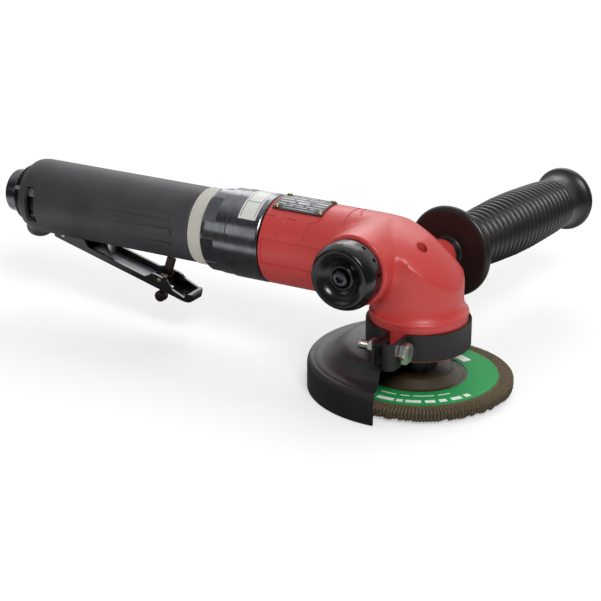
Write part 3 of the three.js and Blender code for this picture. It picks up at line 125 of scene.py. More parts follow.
class Nodes:
    """Node tree that is being filled. Its short methods add one common node each and return its output."""

    def __init__(self, tree: bpy.types.NodeTree) -> None:
        """Takes over a tree and empties it."""
        self.tree = tree
        tree.nodes.clear()

    def add(self, kind: str, inputs: dict[str | int, Any] | None = None, **settings: Any) -> bpy.types.Node:
        """Adds one node with its settings and its inputs.

        Args:
            kind: Blender's type name of the node.
            inputs: values, or sockets to link, by input name or number.
            settings: properties of the node itself.

        Returns:
            The new node.
        """
        node = self.tree.nodes.new(kind)
        for key, value in settings.items():
            setattr(node, key, value)
        self.feed(node, inputs or {})
        return node

    def feed(self, node: bpy.types.Node, inputs: dict[str | int, Any]) -> None:
        """Sets inputs of a node to values, or links them to sockets."""
        for key, value in inputs.items():
            if isinstance(value, bpy.types.NodeSocket):
                self.tree.links.new(value, node.inputs[key])
            else:
                node.inputs[key].default_value = value

    def noise(self, place: Socket, scale: float, detail: float = 2.0, roughness: float = 0.5) -> Socket:
        """Returns cloudy noise."""
        inputs = {"Vector": place, "Scale": scale, "Detail": detail, "Roughness": roughness}
        return self.add("ShaderNodeTexNoise", inputs).outputs[0]

    def ranged(
        self, value: Socket, source: Range, target: Range = (0.0, 1.0), smooth: bool = False
    ) -> Socket:
        """Returns a value carried from one range to another, and held inside it."""
        names = ("Value", "From Min", "From Max", "To Min", "To Max")
        inputs = dict(zip(names, (value, *source, *target)))
        kind = "SMOOTHSTEP" if smooth else "LINEAR"
        return self.add("ShaderNodeMapRange", inputs, interpolation_type=kind).outputs[0]

    def maths(self, operation: str, *values: Socket | float) -> Socket:
        """Returns the result of one operation on up to three values."""
        return self.add("ShaderNodeMath", dict(enumerate(values)), operation=operation).outputs[0]

    def mixed(self, share: Socket, first: Any, second: Any) -> Socket:
        """Returns a colour between two others."""
        return self.add("ShaderNodeMix", {0: share, 6: first, 7: second}, data_type="RGBA").outputs[2]

    def stretched(self, place: Socket, scale: Sequence[float]) -> Socket:
        """Returns places scaled on each axis."""
        return self.add("ShaderNodeMapping", {"Vector": place, "Scale": scale}).outputs[0]

    def bump(self, height: Socket, relief: float, strength: Any, invert: bool = False) -> Socket:
        """Returns the normals of a relief that is this many millimetres high."""
        inputs = {"Height": height, "Distance": relief * MM, "Strength": strength}
        return self.add("ShaderNodeBump", inputs, invert=invert).outputs[0]


@dataclass(frozen=True)
class Finish:
    """What a surface is made of, and how it was made.

    Each kind of finish fills in its own pattern.
    """

    title: str
    slot: Slot
    colour: str
    roughness: float

    def material(self) -> bpy.types.Material:
        """Returns this finish as a material, made the first time it is asked for."""
        found = bpy.data.materials.get(self.title)
        if found:
            return found
        made = bpy.data.materials.new(self.title)
        made.use_nodes = True
        nodes = Nodes(made.node_tree)
        skin = {"Base Color": srgb(self.colour), "Roughness": self.roughness}
        shader = nodes.add("ShaderNodeBsdfPrincipled", skin)
        nodes.add("ShaderNodeOutputMaterial", {"Surface": shader.outputs[0]})
        self.dress(nodes, shader, nodes.add("ShaderNodeTexCoord").outputs["Object"])
        return made

    def dress(self, nodes: Nodes, shader: bpy.types.Node, place: Socket) -> None:
        """Adds the pattern of this finish to its shader.

        Args:
            nodes: nodes of the material.
            shader: the principled shader to feed.
            place: object coordinates in metres.
        """
        raise NotImplementedError

    def wear_on(self, thing: bpy.types.Object) -> None:
        """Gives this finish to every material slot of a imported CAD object."""
        if not thing.material_slots:
            thing.data.materials.append(self.material())
        for slot in thing.material_slots:
            slot.material = self.material()


@dataclass(frozen=True)
class Enamel(Finish):
    """Sprayed enamel on a blasted casting.

    The eye gets a satin skin: wide soft highlights, a faint orange peel and slightly uneven colour.
    """

    shade: str = "#b03635"
    peel: float = 0.9
    relief: float = 0.02

    def dress(self, nodes: Nodes, shader: bpy.types.Node, place: Socket) -> None:
        """Adds uneven colour, uneven gloss and orange peel."""
        cloud = nodes.noise(place, per_metre(26), 3.0, 0.55)
        speck = nodes.noise(place, per_metre(self.peel))
        amount = nodes.ranged(cloud, (0.35, 0.7), (0.0, 0.45))
        colour = nodes.mixed(amount, srgb(self.colour), srgb(self.shade))
        gloss = nodes.ranged(cloud, (0.3, 0.7), (self.roughness - 0.04, self.roughness + 0.05))
        normal = nodes.bump(speck, self.relief, 0.7)
        nodes.feed(shader, {"Base Color": colour, "Roughness": gloss, "Normal": normal})


@dataclass(frozen=True)
class Moulded(Finish):
    """Polymer moulded in a spark-eroded or turned tool.

    The eye gets a dull skin with fine streaks or grain, a little lighter where fingers rub it.
    """

    shade: str = "#2f2f31"
    lay: Lay = Lay.NONE
    grain: float = 0.45
    streak: float = 14.0
    relief: float = 0.03

    def dress(self, nodes: Nodes, shader: bpy.types.Node, place: Socket) -> None:
        """Adds streaks or grain, and larger dull and rubbed patches."""
        along = self.grain if self.lay is Lay.NONE else self.streak
        turned = nodes.stretched(place, lay_scale(self.lay, self.grain, along))
        fine = nodes.noise(turned, 1.0, 3.0, 0.6)
        cloud = nodes.noise(place, per_metre(30))
        amount = nodes.ranged(nodes.maths("MULTIPLY_ADD", fine, 0.7, cloud), (0.6, 1.1))
        colour = nodes.mixed(amount, srgb(self.shade), srgb(self.colour))
        gloss = nodes.ranged(fine, (0.3, 0.7), (self.roughness + 0.07, self.roughness - 0.05))
        normal = nodes.bump(fine, self.relief, 0.8)
        nodes.feed(shader, {"Base Color": colour, "Roughness": gloss, "Normal": normal})


@dataclass(frozen=True)
class Metal(Finish):
    """Bare, plated or blackened metal.

    The eye gets reflections drawn out by the tool marks, and patches that are a little duller.
    """

    shade: str = "#8d8e90"
    lay: Lay = Lay.NONE
    mark: float = 0.35  # real marks are about 0.05 mm apart, drawn coarser so that they show
    mark_length: float = 40.0
    relief: float = 0.006

    def dress(self, nodes: Nodes, shader: bpy.types.Node, place: Socket) -> None:
        """Adds tool marks and duller patches."""
        along = self.mark if self.lay is Lay.NONE else self.mark_length
        turned = nodes.stretched(place, lay_scale(self.lay, self.mark, along))
        marks = nodes.noise(turned, 1.0)
        cloud = nodes.noise(place, per_metre(9), 3.0, 0.6)
        amount = nodes.ranged(cloud, (0.35, 0.7))
        colour = nodes.mixed(amount, srgb(self.colour), srgb(self.shade))
        gloss = nodes.ranged(marks, (0.3, 0.7), (self.roughness - 0.05, self.roughness + 0.07))
        normal = nodes.bump(marks, self.relief, 0.6)
        nodes.feed(shader, {"Metallic": 1.0, "Base Color": colour, "Roughness": gloss, "Normal": normal})


@dataclass(frozen=True)
class Grit(Finish):
    """Abrasive grains in baked resin over glass cloth.

    The eye gets a dull brown skin of dark and pale grains, each about half a millimetre.
    """

    grain_colour: str = "#6d5f47"
    dark_colour: str = "#382e1f"
    # The groove colour is painted shadow laid in the rim's pressed grooves.
    painted_groove_shadow_colour: str = "#1f1a10"
    grit: float = 0.55
    relief: float = 0.1
    ribs: int = 168  # pressed ribs round the rim
    rib_radius: float = 43.4
    rib_edge: Range = (0.2, -0.9)  # cosine round a rib where the painted shadow in its groove starts, and where it is darkest
    # How dark the painted groove shadow gets on the rim.
    painted_groove_shade: float = 0.75
    skin_radius: float = 26.8  # the resin skin is bare and glossy inside the label
    skin_roughness: float = 0.4
    cut_side_shade_heights: Range = (3.3, 2.5)  # heights between which the wheel's side turns dark: painted shade below the lit top, partly the ground edge's own darker tone
    cut_side_painted_shade: float = 0.5
    fade: float = 0.6  # width over which one zone gives way to the next

    def dress(self, nodes: Nodes, shader: bpy.types.Node, place: Socket) -> None:
        """Adds grains that differ in colour and stand out of the resin, and the rim's painted shade: shadow
        in its grooves and a darker side.
        """
        flat = nodes.add("ShaderNodeVectorMath", {0: place, 1: (1.0, 1.0, 0.0)}, operation="MULTIPLY")
        reach = nodes.add("ShaderNodeVectorMath", {0: flat.outputs[0]}, operation="LENGTH").outputs["Value"]
        label_edge = ((self.skin_radius - self.fade) * MM, self.skin_radius * MM)
        rough_part = nodes.ranged(reach, label_edge, (0.04, 0.9))
        grains = nodes.add("ShaderNodeTexVoronoi", {"Vector": place, "Scale": per_metre(self.grit)}).outputs
        tone = nodes.add("ShaderNodeSeparateColor", {0: grains["Color"]}).outputs
        pale = nodes.ranged(tone[0], (0.55, 0.95), (0.0, 0.8))
        dark = nodes.ranged(tone[1], (0.6, 1.0), (0.0, 0.75))
        colour = nodes.mixed(pale, srgb(self.colour), srgb(self.grain_colour))
        colour = nodes.mixed(dark, colour, srgb(self.dark_colour))
        colour = nodes.mixed(rough_part, srgb(self.dark_colour), colour)
        # The rim's grooves and its side are darkened with painted shade.
        colour = nodes.mixed(self._painted_rim_shade(nodes, place, reach), colour, srgb(self.painted_groove_shadow_colour))
        gloss = nodes.ranged(rough_part, (0.0, 0.9), (self.skin_roughness, self.roughness))
        normal = nodes.bump(grains["Distance"], self.relief, rough_part, invert=True)
        nodes.feed(shader, {"Base Color": colour, "Roughness": gloss, "Normal": normal})

    def _painted_rim_shade(self, nodes: Nodes, place: Socket, reach: Socket) -> Socket:
        """Returns how much painted shade the rim gets: shadow in its grooves, and the darker side under its
        top.
        """
        parts = nodes.add("ShaderNodeSeparateXYZ", {0: place}).outputs
        edge = tuple(height * MM for height in self.cut_side_shade_heights)
        # The side under the rim's top gets darker: painted shade, and partly the ground edge's own darker
        # tone.
        cut_side_and_shade = nodes.ranged(parts[2], edge, (0.0, self.cut_side_painted_shade))
        turn = nodes.maths("MULTIPLY", nodes.maths("ARCTAN2", parts[1], parts[0]), float(self.ribs))
        # Painted shadow in each pressed groove round the rim.
        groove = nodes.ranged(nodes.maths("COSINE", turn), self.rib_edge)
        rim_edge = ((self.rib_radius - self.fade) * MM, self.rib_radius * MM)
        on_rim = nodes.ranged(reach, rim_edge, (0.0, self.painted_groove_shade))
        return nodes.maths("MAXIMUM", nodes.maths("MULTIPLY", groove, on_rim), cut_side_and_shade)


@dataclass(frozen=True)
class Printed(Finish):
    """Ink on coated paper or film.

    The eye gets a flat even colour with a slight sheen, paper fibre and small scuffs in the ink.
    """

    scuff: str = "#d9dcd4"
    scuffs: float = 0.25
    relief: float = 0.01

    def dress(self, nodes: Nodes, shader: bpy.types.Node, place: Socket) -> None:
        """Adds scuffs, slightly uneven ink and paper fibre."""
        fibre = nodes.noise(place, per_metre(0.5))
        cloud = nodes.noise(place, per_metre(7), 6.0, 0.7)
        amount = nodes.ranged(cloud, (0.5, 0.85), (0.0, self.scuffs))
        colour = nodes.mixed(amount, srgb(self.colour), srgb(self.scuff))
        nodes.feed(shader, {"Base Color": colour, "Normal": nodes.bump(fibre, self.relief, 0.5)})


RED_ENAMEL = Enamel(
    "satin red enamel on die-cast aluminium", Slot.RED_PAINT, "#b83936", 0.38, shade="#a83431"
)
GRIP_NYLON = Moulded(
    "moulded glass-filled nylon",
    Slot.BLACK_COMPOSITE,
    "#3c3b3f",
    0.5,
    shade="#28282b",
    lay=Lay.ALONG_X,
    grain=0.3,
    streak=2.2,
)
HANDLE_RUBBER = Moulded(
    "moulded black rubber", Slot.RUBBER, "#1c1816", 0.36, shade="#110e0e", grain=0.6, relief=0.02
)
BLACK_TURNED_X = Metal(
    "black oxide on turned steel", Slot.BLACK_STEEL, "#7d7e82", 0.19, shade="#67686c", lay=Lay.ALONG_X
)
BLACK_TURNED_Z = Metal(
    "black oxide on turned steel, upright",
    Slot.BLACK_STEEL,
    "#39393b",
    0.3,
    shade="#2e2e31",
    lay=Lay.ALONG_Z,
)
BLACK_SCREW = Metal(
    "black oxide on forged steel", Slot.STEEL, "#55565a", 0.22, shade="#3c3d40", lay=Lay.ALONG_Y
)
BLACK_INLET = Metal(
    "black nickel on turned steel", Slot.BLACK_STEEL, "#6c6d72", 0.16, shade="#4a4b4f", lay=Lay.ALONG_X
)
BROWNED_DIAL = Metal(
    "browned turned steel", Slot.BLACK_STEEL, "#35302f", 0.32, shade="#2a2625", lay=Lay.ALONG_X
)
BLACK_CAP = Enamel(
    "gloss black stove enamel on turned aluminium",
    Slot.BLACK_STEEL,
    "#0c0c0d",
    0.2,
    shade="#101011",
    peel=1.4,
    relief=0.006,
)
BLACK_SHEET = Enamel(
    "black electrophoretic coat on pressed steel",
    Slot.BLACK_STEEL,
    "#131214",
    0.44,
    shade="#17161a",
    peel=0.8,
    relief=0.012,
)
BLACK_GLOSS_SHEET = Enamel(
    "gloss black enamel on pressed steel",
    Slot.BLACK_STEEL,
    "#0d0d0d",
    0.12,
    shade="#131312",
    peel=2.5,
    relief=0.006,
)
# A pale grey sheet that stands for the backdrop reflected in the lever's gloss black channel: a painted
# reflection.
FLOOR_REFLECTION_GREY = Enamel(
    "pale grey painted reflection in the channel", Slot.ZINC, "#a2a2ac", 0.42, shade="#8c8c96", peel=1.0
)
BROWNED_STEEL = Metal(
    "browned cast steel", Slot.CAST_IRON, "#4d4340", 0.36, shade="#3b3331", mark=0.7, relief=0.02
)
CAST_IRON = Metal("machined cast iron", Slot.CAST_IRON, "#8b8886", 0.45, shade="#6f6c6a")
GROUND_STEEL = Metal("ground steel", Slot.STEEL, "#c6c7c9", 0.26, shade="#a5a7aa", lay=Lay.ALONG_Z)
DRAWN_STEEL_X = Metal("drawn steel", Slot.STEEL, "#bcbdbf", 0.28, shade="#9b9c9f", lay=Lay.ALONG_X)
RACE_STEEL = Metal(
    "polished bearing steel", Slot.BEARING_STEEL, "#cfd1d3", 0.14, shade="#b9bbbe", relief=0.002
)
ZINC_PLATE = Metal(
    "bright zinc plate on steel", Slot.ZINC, "#e6e5de", 0.3, shade="#d3d1c8", mark=0.5, relief=0.004
)
YELLOW_ZINC = Metal(
    "yellow passivated zinc plate", Slot.ZINC, "#c9b98a", 0.3, shade="#a08f66", mark=0.5, relief=0.01
)
BRASS = Metal("turned brass", Slot.BRASS, "#c9a85c", 0.27, shade="#9c7f3f")
TARNISHED_BRASS = Metal("tarnished brass rivet", Slot.BRASS, "#a3946c", 0.36, shade="#7d7150")
MACHINED_ALUMINIUM = Metal(
    "machined aluminium", Slot.ALUMINIUM, "#b9babc", 0.38, shade="#9fa1a4", lay=Lay.ALONG_X
)
PLATE_BLACK = Enamel(
    "black filled etched aluminium plate", Slot.ALUMINIUM, "#2b2c2e", 0.4, shade="#36373a", peel=0.5
)
PLATE_SILVER = Metal("bare etched aluminium", Slot.ALUMINIUM, "#a9aaad", 0.42, shade="#85868a", mark=0.3)
PRESSED_FIBRE = Printed(
    "pressed vulcanised fibre", Slot.FIBRE, "#b4b2a8", 0.8, scuff="#9a978b", scuffs=0.5
)
LAMINATE = Moulded("cotton laminate", Slot.PLASTIC, "#7a5a38", 0.6, shade="#5f452b")
WHEEL_GRIT = Grit("resin-bonded abrasive with glass cloth", Slot.ABRASIVE, "#665840", 0.85)
GREEN_PAPER = Printed("green printed blotter paper", Slot.PAPER, "#12934a", 0.62, scuff="#3aa566")
WHITE_INK = Printed("white ink on blotter paper", Slot.PAPER, "#e6eee6", 0.55, scuff="#9fd0b0", scuffs=0.6)
WHITE_FILM = Printed("white vinyl film", Slot.PAPER, "#c8c8c5", 0.4, scuff="#b9b9b6", scuffs=0.3)
BLACK_INK = Printed("black ink", Slot.PAPER, "#242424", 0.5, scuff="#55554f", scuffs=0.2)


# ---------------------------------------------------------------------------------------------------
# Shapes


class Join(Enum):
    """Ways of joining two closed shapes."""

    ADD = "UNION"
    CUT = "DIFFERENCE"
    KEEP = "INTERSECT"


def body_of(node: str) -> str:
    """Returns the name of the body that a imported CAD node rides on."""
    for body, members in frame["record"]["behaviour"]["bodies"].items():
        if node in members:
            return body
    raise KeyError(node)


class Shape:
    """A closed shape in millimetres, made and changed with bmesh operators."""

    def __init__(self) -> None:
        """Starts an empty shape."""
        self.mesh = bmesh.new()

    @classmethod
    def turned(
        cls, profile: Sequence[Spot], steps: int = 96, start: float = 0.0, arc: float = 360.0
    ) -> "Shape":
        """Turns a profile about Z.

        Args:
            profile: points of radius, height and the rounding of that corner. A profile that doesn't
                begin and end on the axis is closed on itself.
            steps: faces round the whole turn.
            start: angle in degrees from +X at which a part turn starts.
            arc: degrees that the profile is turned through.

        Returns:
            The turned shape.
        """
        shape = cls()
        off_axis = profile[0][0] > 0 or profile[-1][0] > 0
        shape._outline([(r, 0.0, z) for r, z, *_ in profile], profile, off_axis)
        mesh = shape.mesh
        whole = arc >= 360
        bmesh.ops.rotate(mesh, verts=mesh.verts, matrix=Matrix.Rotation(math.radians(start), 3, "Z"))
        bmesh.ops.spin(
            mesh,
            geom=mesh.verts[:] + mesh.edges[:],
            axis=(0, 0, 1),
            cent=(0, 0, 0),
            dvec=(0, 0, 0),
            angle=math.radians(arc),
            steps=max(2, round(steps * arc / 360)),
            use_merge=whole,
            use_duplicate=False,
        )
        return shape._closed()

    @classmethod
    def rod(cls, radius: float, low: float, high: float, rounding: float = 0.0, steps: int = 32) -> "Shape":
        """Turns a round rod, or the cutter of a round hole, between two heights."""
        return cls.turned([(0, low), (radius, low, rounding), (radius, high, rounding), (0, high)], steps)

    @classmethod
    def tube(
        cls, inner: float, outer: float, low: float, high: float, steps: int = 144, **turn: float
    ) -> "Shape":
        """Turns a plain tube, or the part of one that a start and an arc leave."""
        return cls.turned([(inner, low), (outer, low), (outer, high), (inner, high)], steps, **turn)

    @classmethod
    def prism(cls, outline: Sequence[Spot], low: float, high: float) -> "Shape":
        """Draws out an outline in X and Y from low to high on Z, with its corners rounded."""
        shape = cls()
        shape._outline([(x, y, low) for x, y, *_ in outline], outline, True)
        mesh = shape.mesh
        face = bmesh.ops.contextual_create(mesh, geom=mesh.edges[:])["faces"]
        drawn = bmesh.ops.extrude_face_region(mesh, geom=face)["geom"]
        moved = [item for item in drawn if isinstance(item, bmesh.types.BMVert)]
        bmesh.ops.translate(mesh, verts=moved, vec=(0, 0, high - low))
        return shape._closed()

    @classmethod
    def block(cls, low: Sequence[float], high: Sequence[float]) -> "Shape":
        """Makes a block between two corners, as stock for a cut or a join."""
        shape = cls()
        low, high = Vector(low), Vector(high)
        size = Matrix.Diagonal((*(high - low), 1.0))
        bmesh.ops.create_cube(shape.mesh, size=1.0, matrix=Matrix.Translation((low + high) / 2) @ size)
        return shape

    @classmethod
    def ball(cls, centre: Sequence[float], radii: Sequence[float]) -> "Shape":
        """Makes an ellipsoid, as stock for a join."""
        shape = cls()
        where = Matrix.Translation(centre) @ Matrix.Diagonal((*radii, 1.0))
        bmesh.ops.create_uvsphere(shape.mesh, u_segments=96, v_segments=64, radius=1.0, matrix=where)
        return shape

    @classmethod
    def wire(cls, path: Sequence[Sequence[float]], radius: float) -> "Shape":
        """Makes a round wire along a path."""
        curve = bpy.data.curves.new("path", "CURVE")
        curve.dimensions = "3D"
        curve.bevel_depth = radius
        curve.bevel_resolution = 2
        curve.use_fill_caps = True
        line = curve.splines.new("POLY")
        line.points.add(len(path) - 1)
        for spot, point in zip(path, line.points):
            point.co = (*spot, 1.0)
        return cls._from_data(curve)

    @classmethod
    def number(cls, text: str, height: float, thickness: float) -> "Shape":
        """Makes a plain raised numeral that lies in X and Y, centred on the origin."""
        letters = bpy.data.curves.new("number", "FONT")
        letters.body = text
        letters.size = height
        letters.extrude = thickness / 2
        letters.align_x = "CENTER"
        letters.align_y = "CENTER"
        return cls._from_data(letters)

    @classmethod
    def _from_data(cls, data: bpy.types.ID) -> "Shape":
        """Turns a curve or a text into a shape, and removes it."""
        thing = bpy.data.objects.new("source", data)
        bpy.context.scene.collection.objects.link(thing)
        graph = bpy.context.evaluated_depsgraph_get()
        result = bpy.data.meshes.new_from_object(thing.evaluated_get(graph))
        shape = cls()
        shape.mesh.from_mesh(result)
        bpy.data.objects.remove(thing)
        bpy.data.curves.remove(data)
        bpy.data.meshes.remove(result)
        return shape._closed()

    def _outline(self, places: Sequence[Spot], corners: Sequence[Spot], closed: bool) -> None:
        """Draws a wire through places and rounds the corners that ask for it.

        A rounding gets three faces for each millimetre of its reach, from two to seven in all.
        """
        verts = [self.mesh.verts.new(spot) for spot in places]
        for first, second in zip(verts, verts[1:]):
            self.mesh.edges.new((first, second))
        if closed:
            self.mesh.edges.new((verts[-1], verts[0]))
        for vert, corner in zip(verts, corners):
            if len(corner) > 2 and corner[2] > 0:
                bmesh.ops.bevel(
                    self.mesh,
                    geom=[vert],
                    affect="VERTICES",
                    offset=corner[2],
                    offset_type="OFFSET",
                    segments=max(2, min(7, round(corner[2] * 3))),
                    profile=0.5,
                    material=-1,
                    clamp_overlap=True,
                )

    def _closed(self) -> "Shape":
        """Merges doubles, caps open ends and turns every face outwards."""
        bmesh.ops.remove_doubles(self.mesh, verts=self.mesh.verts, dist=1e-4)
        bmesh.ops.dissolve_degenerate(self.mesh, edges=self.mesh.edges, dist=1e-5)
        open_edges = [edge for edge in self.mesh.edges if edge.is_boundary]
        if open_edges:
            bmesh.ops.holes_fill(self.mesh, edges=open_edges, sides=0)
        bmesh.ops.recalc_face_normals(self.mesh, faces=self.mesh.faces)
        return self

    def placed(self, where: Matrix) -> "Shape":
        """Carries the shape by a matrix."""
        bmesh.ops.transform(self.mesh, matrix=where, verts=self.mesh.verts)
        return self

    def joined(self, other: "Shape", way: Join) -> "Shape":
        """Joins another closed shape to this one, and uses the other up.

        Args:
            other: the shape to add, to cut away or to keep inside.
            way: what to do with it.

        Returns:
            This shape, changed.
        """
        host, tool = self._as_object(), other._as_object()
        step = host.modifiers.new("join", "BOOLEAN")
        step.operation = way.value
        step.solver = "MANIFOLD"
        step.object = tool
        self._take(host)
        other.mesh.free()
        bpy.data.meshes.remove(tool.data)
        if not self.mesh.faces:
            raise ValueError("a join left nothing")
        return self

    def add(self, *others: "Shape") -> "Shape":
        """Adds other shapes to this one."""
        for other in others:
            self.joined(other, Join.ADD)
        return self

    def cut(self, *others: "Shape") -> "Shape":
        """Cuts other shapes out of this one."""
        for other in others:
            self.joined(other, Join.CUT)
        return self

    def keep(self, other: "Shape") -> "Shape":
        """Keeps what lies inside another shape."""
        return self.joined(other, Join.KEEP)

    def beside(self, other: "Shape") -> "Shape":
        """Takes in another shape that touches nothing of this one."""
        carried = bpy.data.meshes.new("beside")
        other.mesh.to_mesh(carried)
        self.mesh.from_mesh(carried)
        bpy.data.meshes.remove(carried)
        other.mesh.free()
        return self

    def reskinned(self, cell: float) -> "Shape":
        """Lays an even skin of small faces over the shape, so that its joins can be smoothed."""
        host = self._as_object()
        step = host.modifiers.new("skin", "REMESH")
        step.mode = "VOXEL"
        step.voxel_size = cell
        self._take(host)
        return self

    def smoothed(self, rounds: int, where: Place | None = None) -> "Shape":
        """Relaxes the skin a number of times, all over or only where a test holds."""
        verts = [vert for vert in self.mesh.verts if where is None or where(vert.co)]
        axes = {"use_axis_x": True, "use_axis_y": True, "use_axis_z": True}
        for _ in range(rounds):
            bmesh.ops.smooth_vert(self.mesh, verts=verts, factor=0.5, **axes)
        return self

    def eased(
        self, width: float, segments: int = 2, corner: float = 35.0, where: Place | None = None
    ) -> "Shape":
        """Rounds sharp edges.

        Args:
            width: how far the rounding reaches on each side.
            segments: faces across the rounding.
            corner: degrees between two faces past which their edge counts as sharp.
            where: a test of the edge's middle, if only some edges are meant.

        Returns:
            This shape, changed.
        """
        edges = []
        for edge in self.mesh.edges:
            if not edge.is_manifold or edge.calc_face_angle(0.0) < math.radians(corner):
                continue
            middle = (edge.verts[0].co + edge.verts[1].co) / 2
            if where is None or where(middle):
                edges.append(edge)
        bmesh.ops.bevel(
            self.mesh,
            geom=edges,
            affect="EDGES",
            offset=width,
            offset_type="OFFSET",
            segments=segments,
            profile=0.5,
            material=-1,
            clamp_overlap=True,
        )
        return self

    def piece(self, name: str, finish: Finish, *nodes: str, body: str | None = None) -> bpy.types.Object:
        """Finishes the shape as one piece of the object.

        Args:
            name: name of the piece.
            finish: what its surface is.
            nodes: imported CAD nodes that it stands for.
            body: body that it rides on, if it stands for no node.

        Returns:
            The new object.
        """
        bmesh.ops.scale(self.mesh, vec=(MM, MM, MM), verts=self.mesh.verts)
        data = bpy.data.meshes.new(name)
        self.mesh.to_mesh(data)
        self.mesh.free()
        data.materials.clear()
        data.materials.append(finish.material())
        data.shade_smooth()
        data.set_sharp_from_angle(angle=math.radians(SHARP))
        thing = bpy.data.objects.new(name, data)
        bpy.context.scene.collection.objects.link(thing)
        step = thing.modifiers.new("even normals", "WEIGHTED_NORMAL")
        step.keep_sharp = True
        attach(thing, body or body_of(nodes[0]))
        if nodes:
            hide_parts(*nodes)
        LOG.info("%s: %d faces, %s", name, len(data.polygons), finish.title)
        return thing

    def _as_object(self) -> bpy.types.Object:
        """Returns the shape as an object of the scene, for a modifier."""
        data = bpy.data.meshes.new("stock")
        self.mesh.to_mesh(data)
        thing = bpy.data.objects.new("stock", data)
        bpy.context.scene.collection.objects.link(thing)
        return thing

    def _take(self, host: bpy.types.Object) -> None:
        """Takes the result of an object's modifiers as this shape, and removes the object."""
        graph = bpy.context.evaluated_depsgraph_get()
        result = bpy.data.meshes.new_from_object(host.evaluated_get(graph))
        self.mesh.clear()
        self.mesh.from_mesh(result)
        bpy.data.meshes.remove(result)
        bpy.data.meshes.remove(host.data)


# ---------------------------------------------------------------------------------------------------
# Where things are


def middle_of(node: str) -> Vector:
    """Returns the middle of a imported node's box, in millimetres."""
    low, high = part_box(node)
    return (Vector(low) + Vector(high)) / (2 * MM)


def turned_to(axis: str, degrees: float) -> Matrix:
    """Returns a turn about a world axis."""
    return Matrix.Rotation(math.radians(degrees), 4, axis)


@dataclass
class Lines:
    """Lines that the tool is built on. Each matrix carries a shape's own frame to its place."""

    handle_cant: float = 6.0
    handle_droop: float = 1.9
    lever_pitch: float = 15.1
    lock_lean: float = 17.7
    cap_gap: float = 0.3

    def __post_init__(self) -> None:
        """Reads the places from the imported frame."""
        self.axis = middle_of("fibre_ring").z
        self.motor = Matrix.Translation((0, 0, self.axis)) @ turned_to("Y", 90)
        cap = middle_of("exhaust_cap")
        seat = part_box("exhaust_cap")[1][1] / MM + self.cap_gap
        self.cap = Matrix.Translation((cap.x, seat, cap.z)) @ turned_to("X", 90)
        self.handle = (
            Matrix.Translation((-1.2, 37.7, self.axis - 4.2))
            @ turned_to("Z", -self.handle_cant)
            @ turned_to("X", -90 - self.handle_droop)
        )
        hinge = middle_of("lever_pin")
        self.lever = Matrix.Translation(hinge) @ turned_to("Y", self.lever_pitch)
        lock = middle_of("lock_lever_pin")
        self.lock = Matrix.Translation(lock) @ turned_to("Y", self.lock_lean)
        self.lock_home = self.lever.inverted() @ lock
        bolt = middle_of("guard_clamp_bolt")
        self.bolt = Matrix.Translation((0, bolt.y, bolt.z)) @ turned_to("Y", 90)
        self.valve_x = middle_of("valve_plunger").x

    def on_barrel(self, x: float, angle: float, radius: float) -> Vector:
        """Returns the point at this angle above the -Y side of the motor line, in degrees."""
        turn = math.radians(angle)
        return Vector((x, -radius * math.cos(turn), self.axis + radius * math.sin(turn)))

    def patch(
        self, inner: float, outer: float, low: float, high: float, first: float, last: float
    ) -> Shape:
        """Makes a strip of tube wall on the motor line between two angles above the -Y side."""
        return Shape.tube(inner, outer, low, high, start=-90 - last, arc=last - first).placed(self.motor)


# ---------------------------------------------------------------------------------------------------
# Sub-assemblies


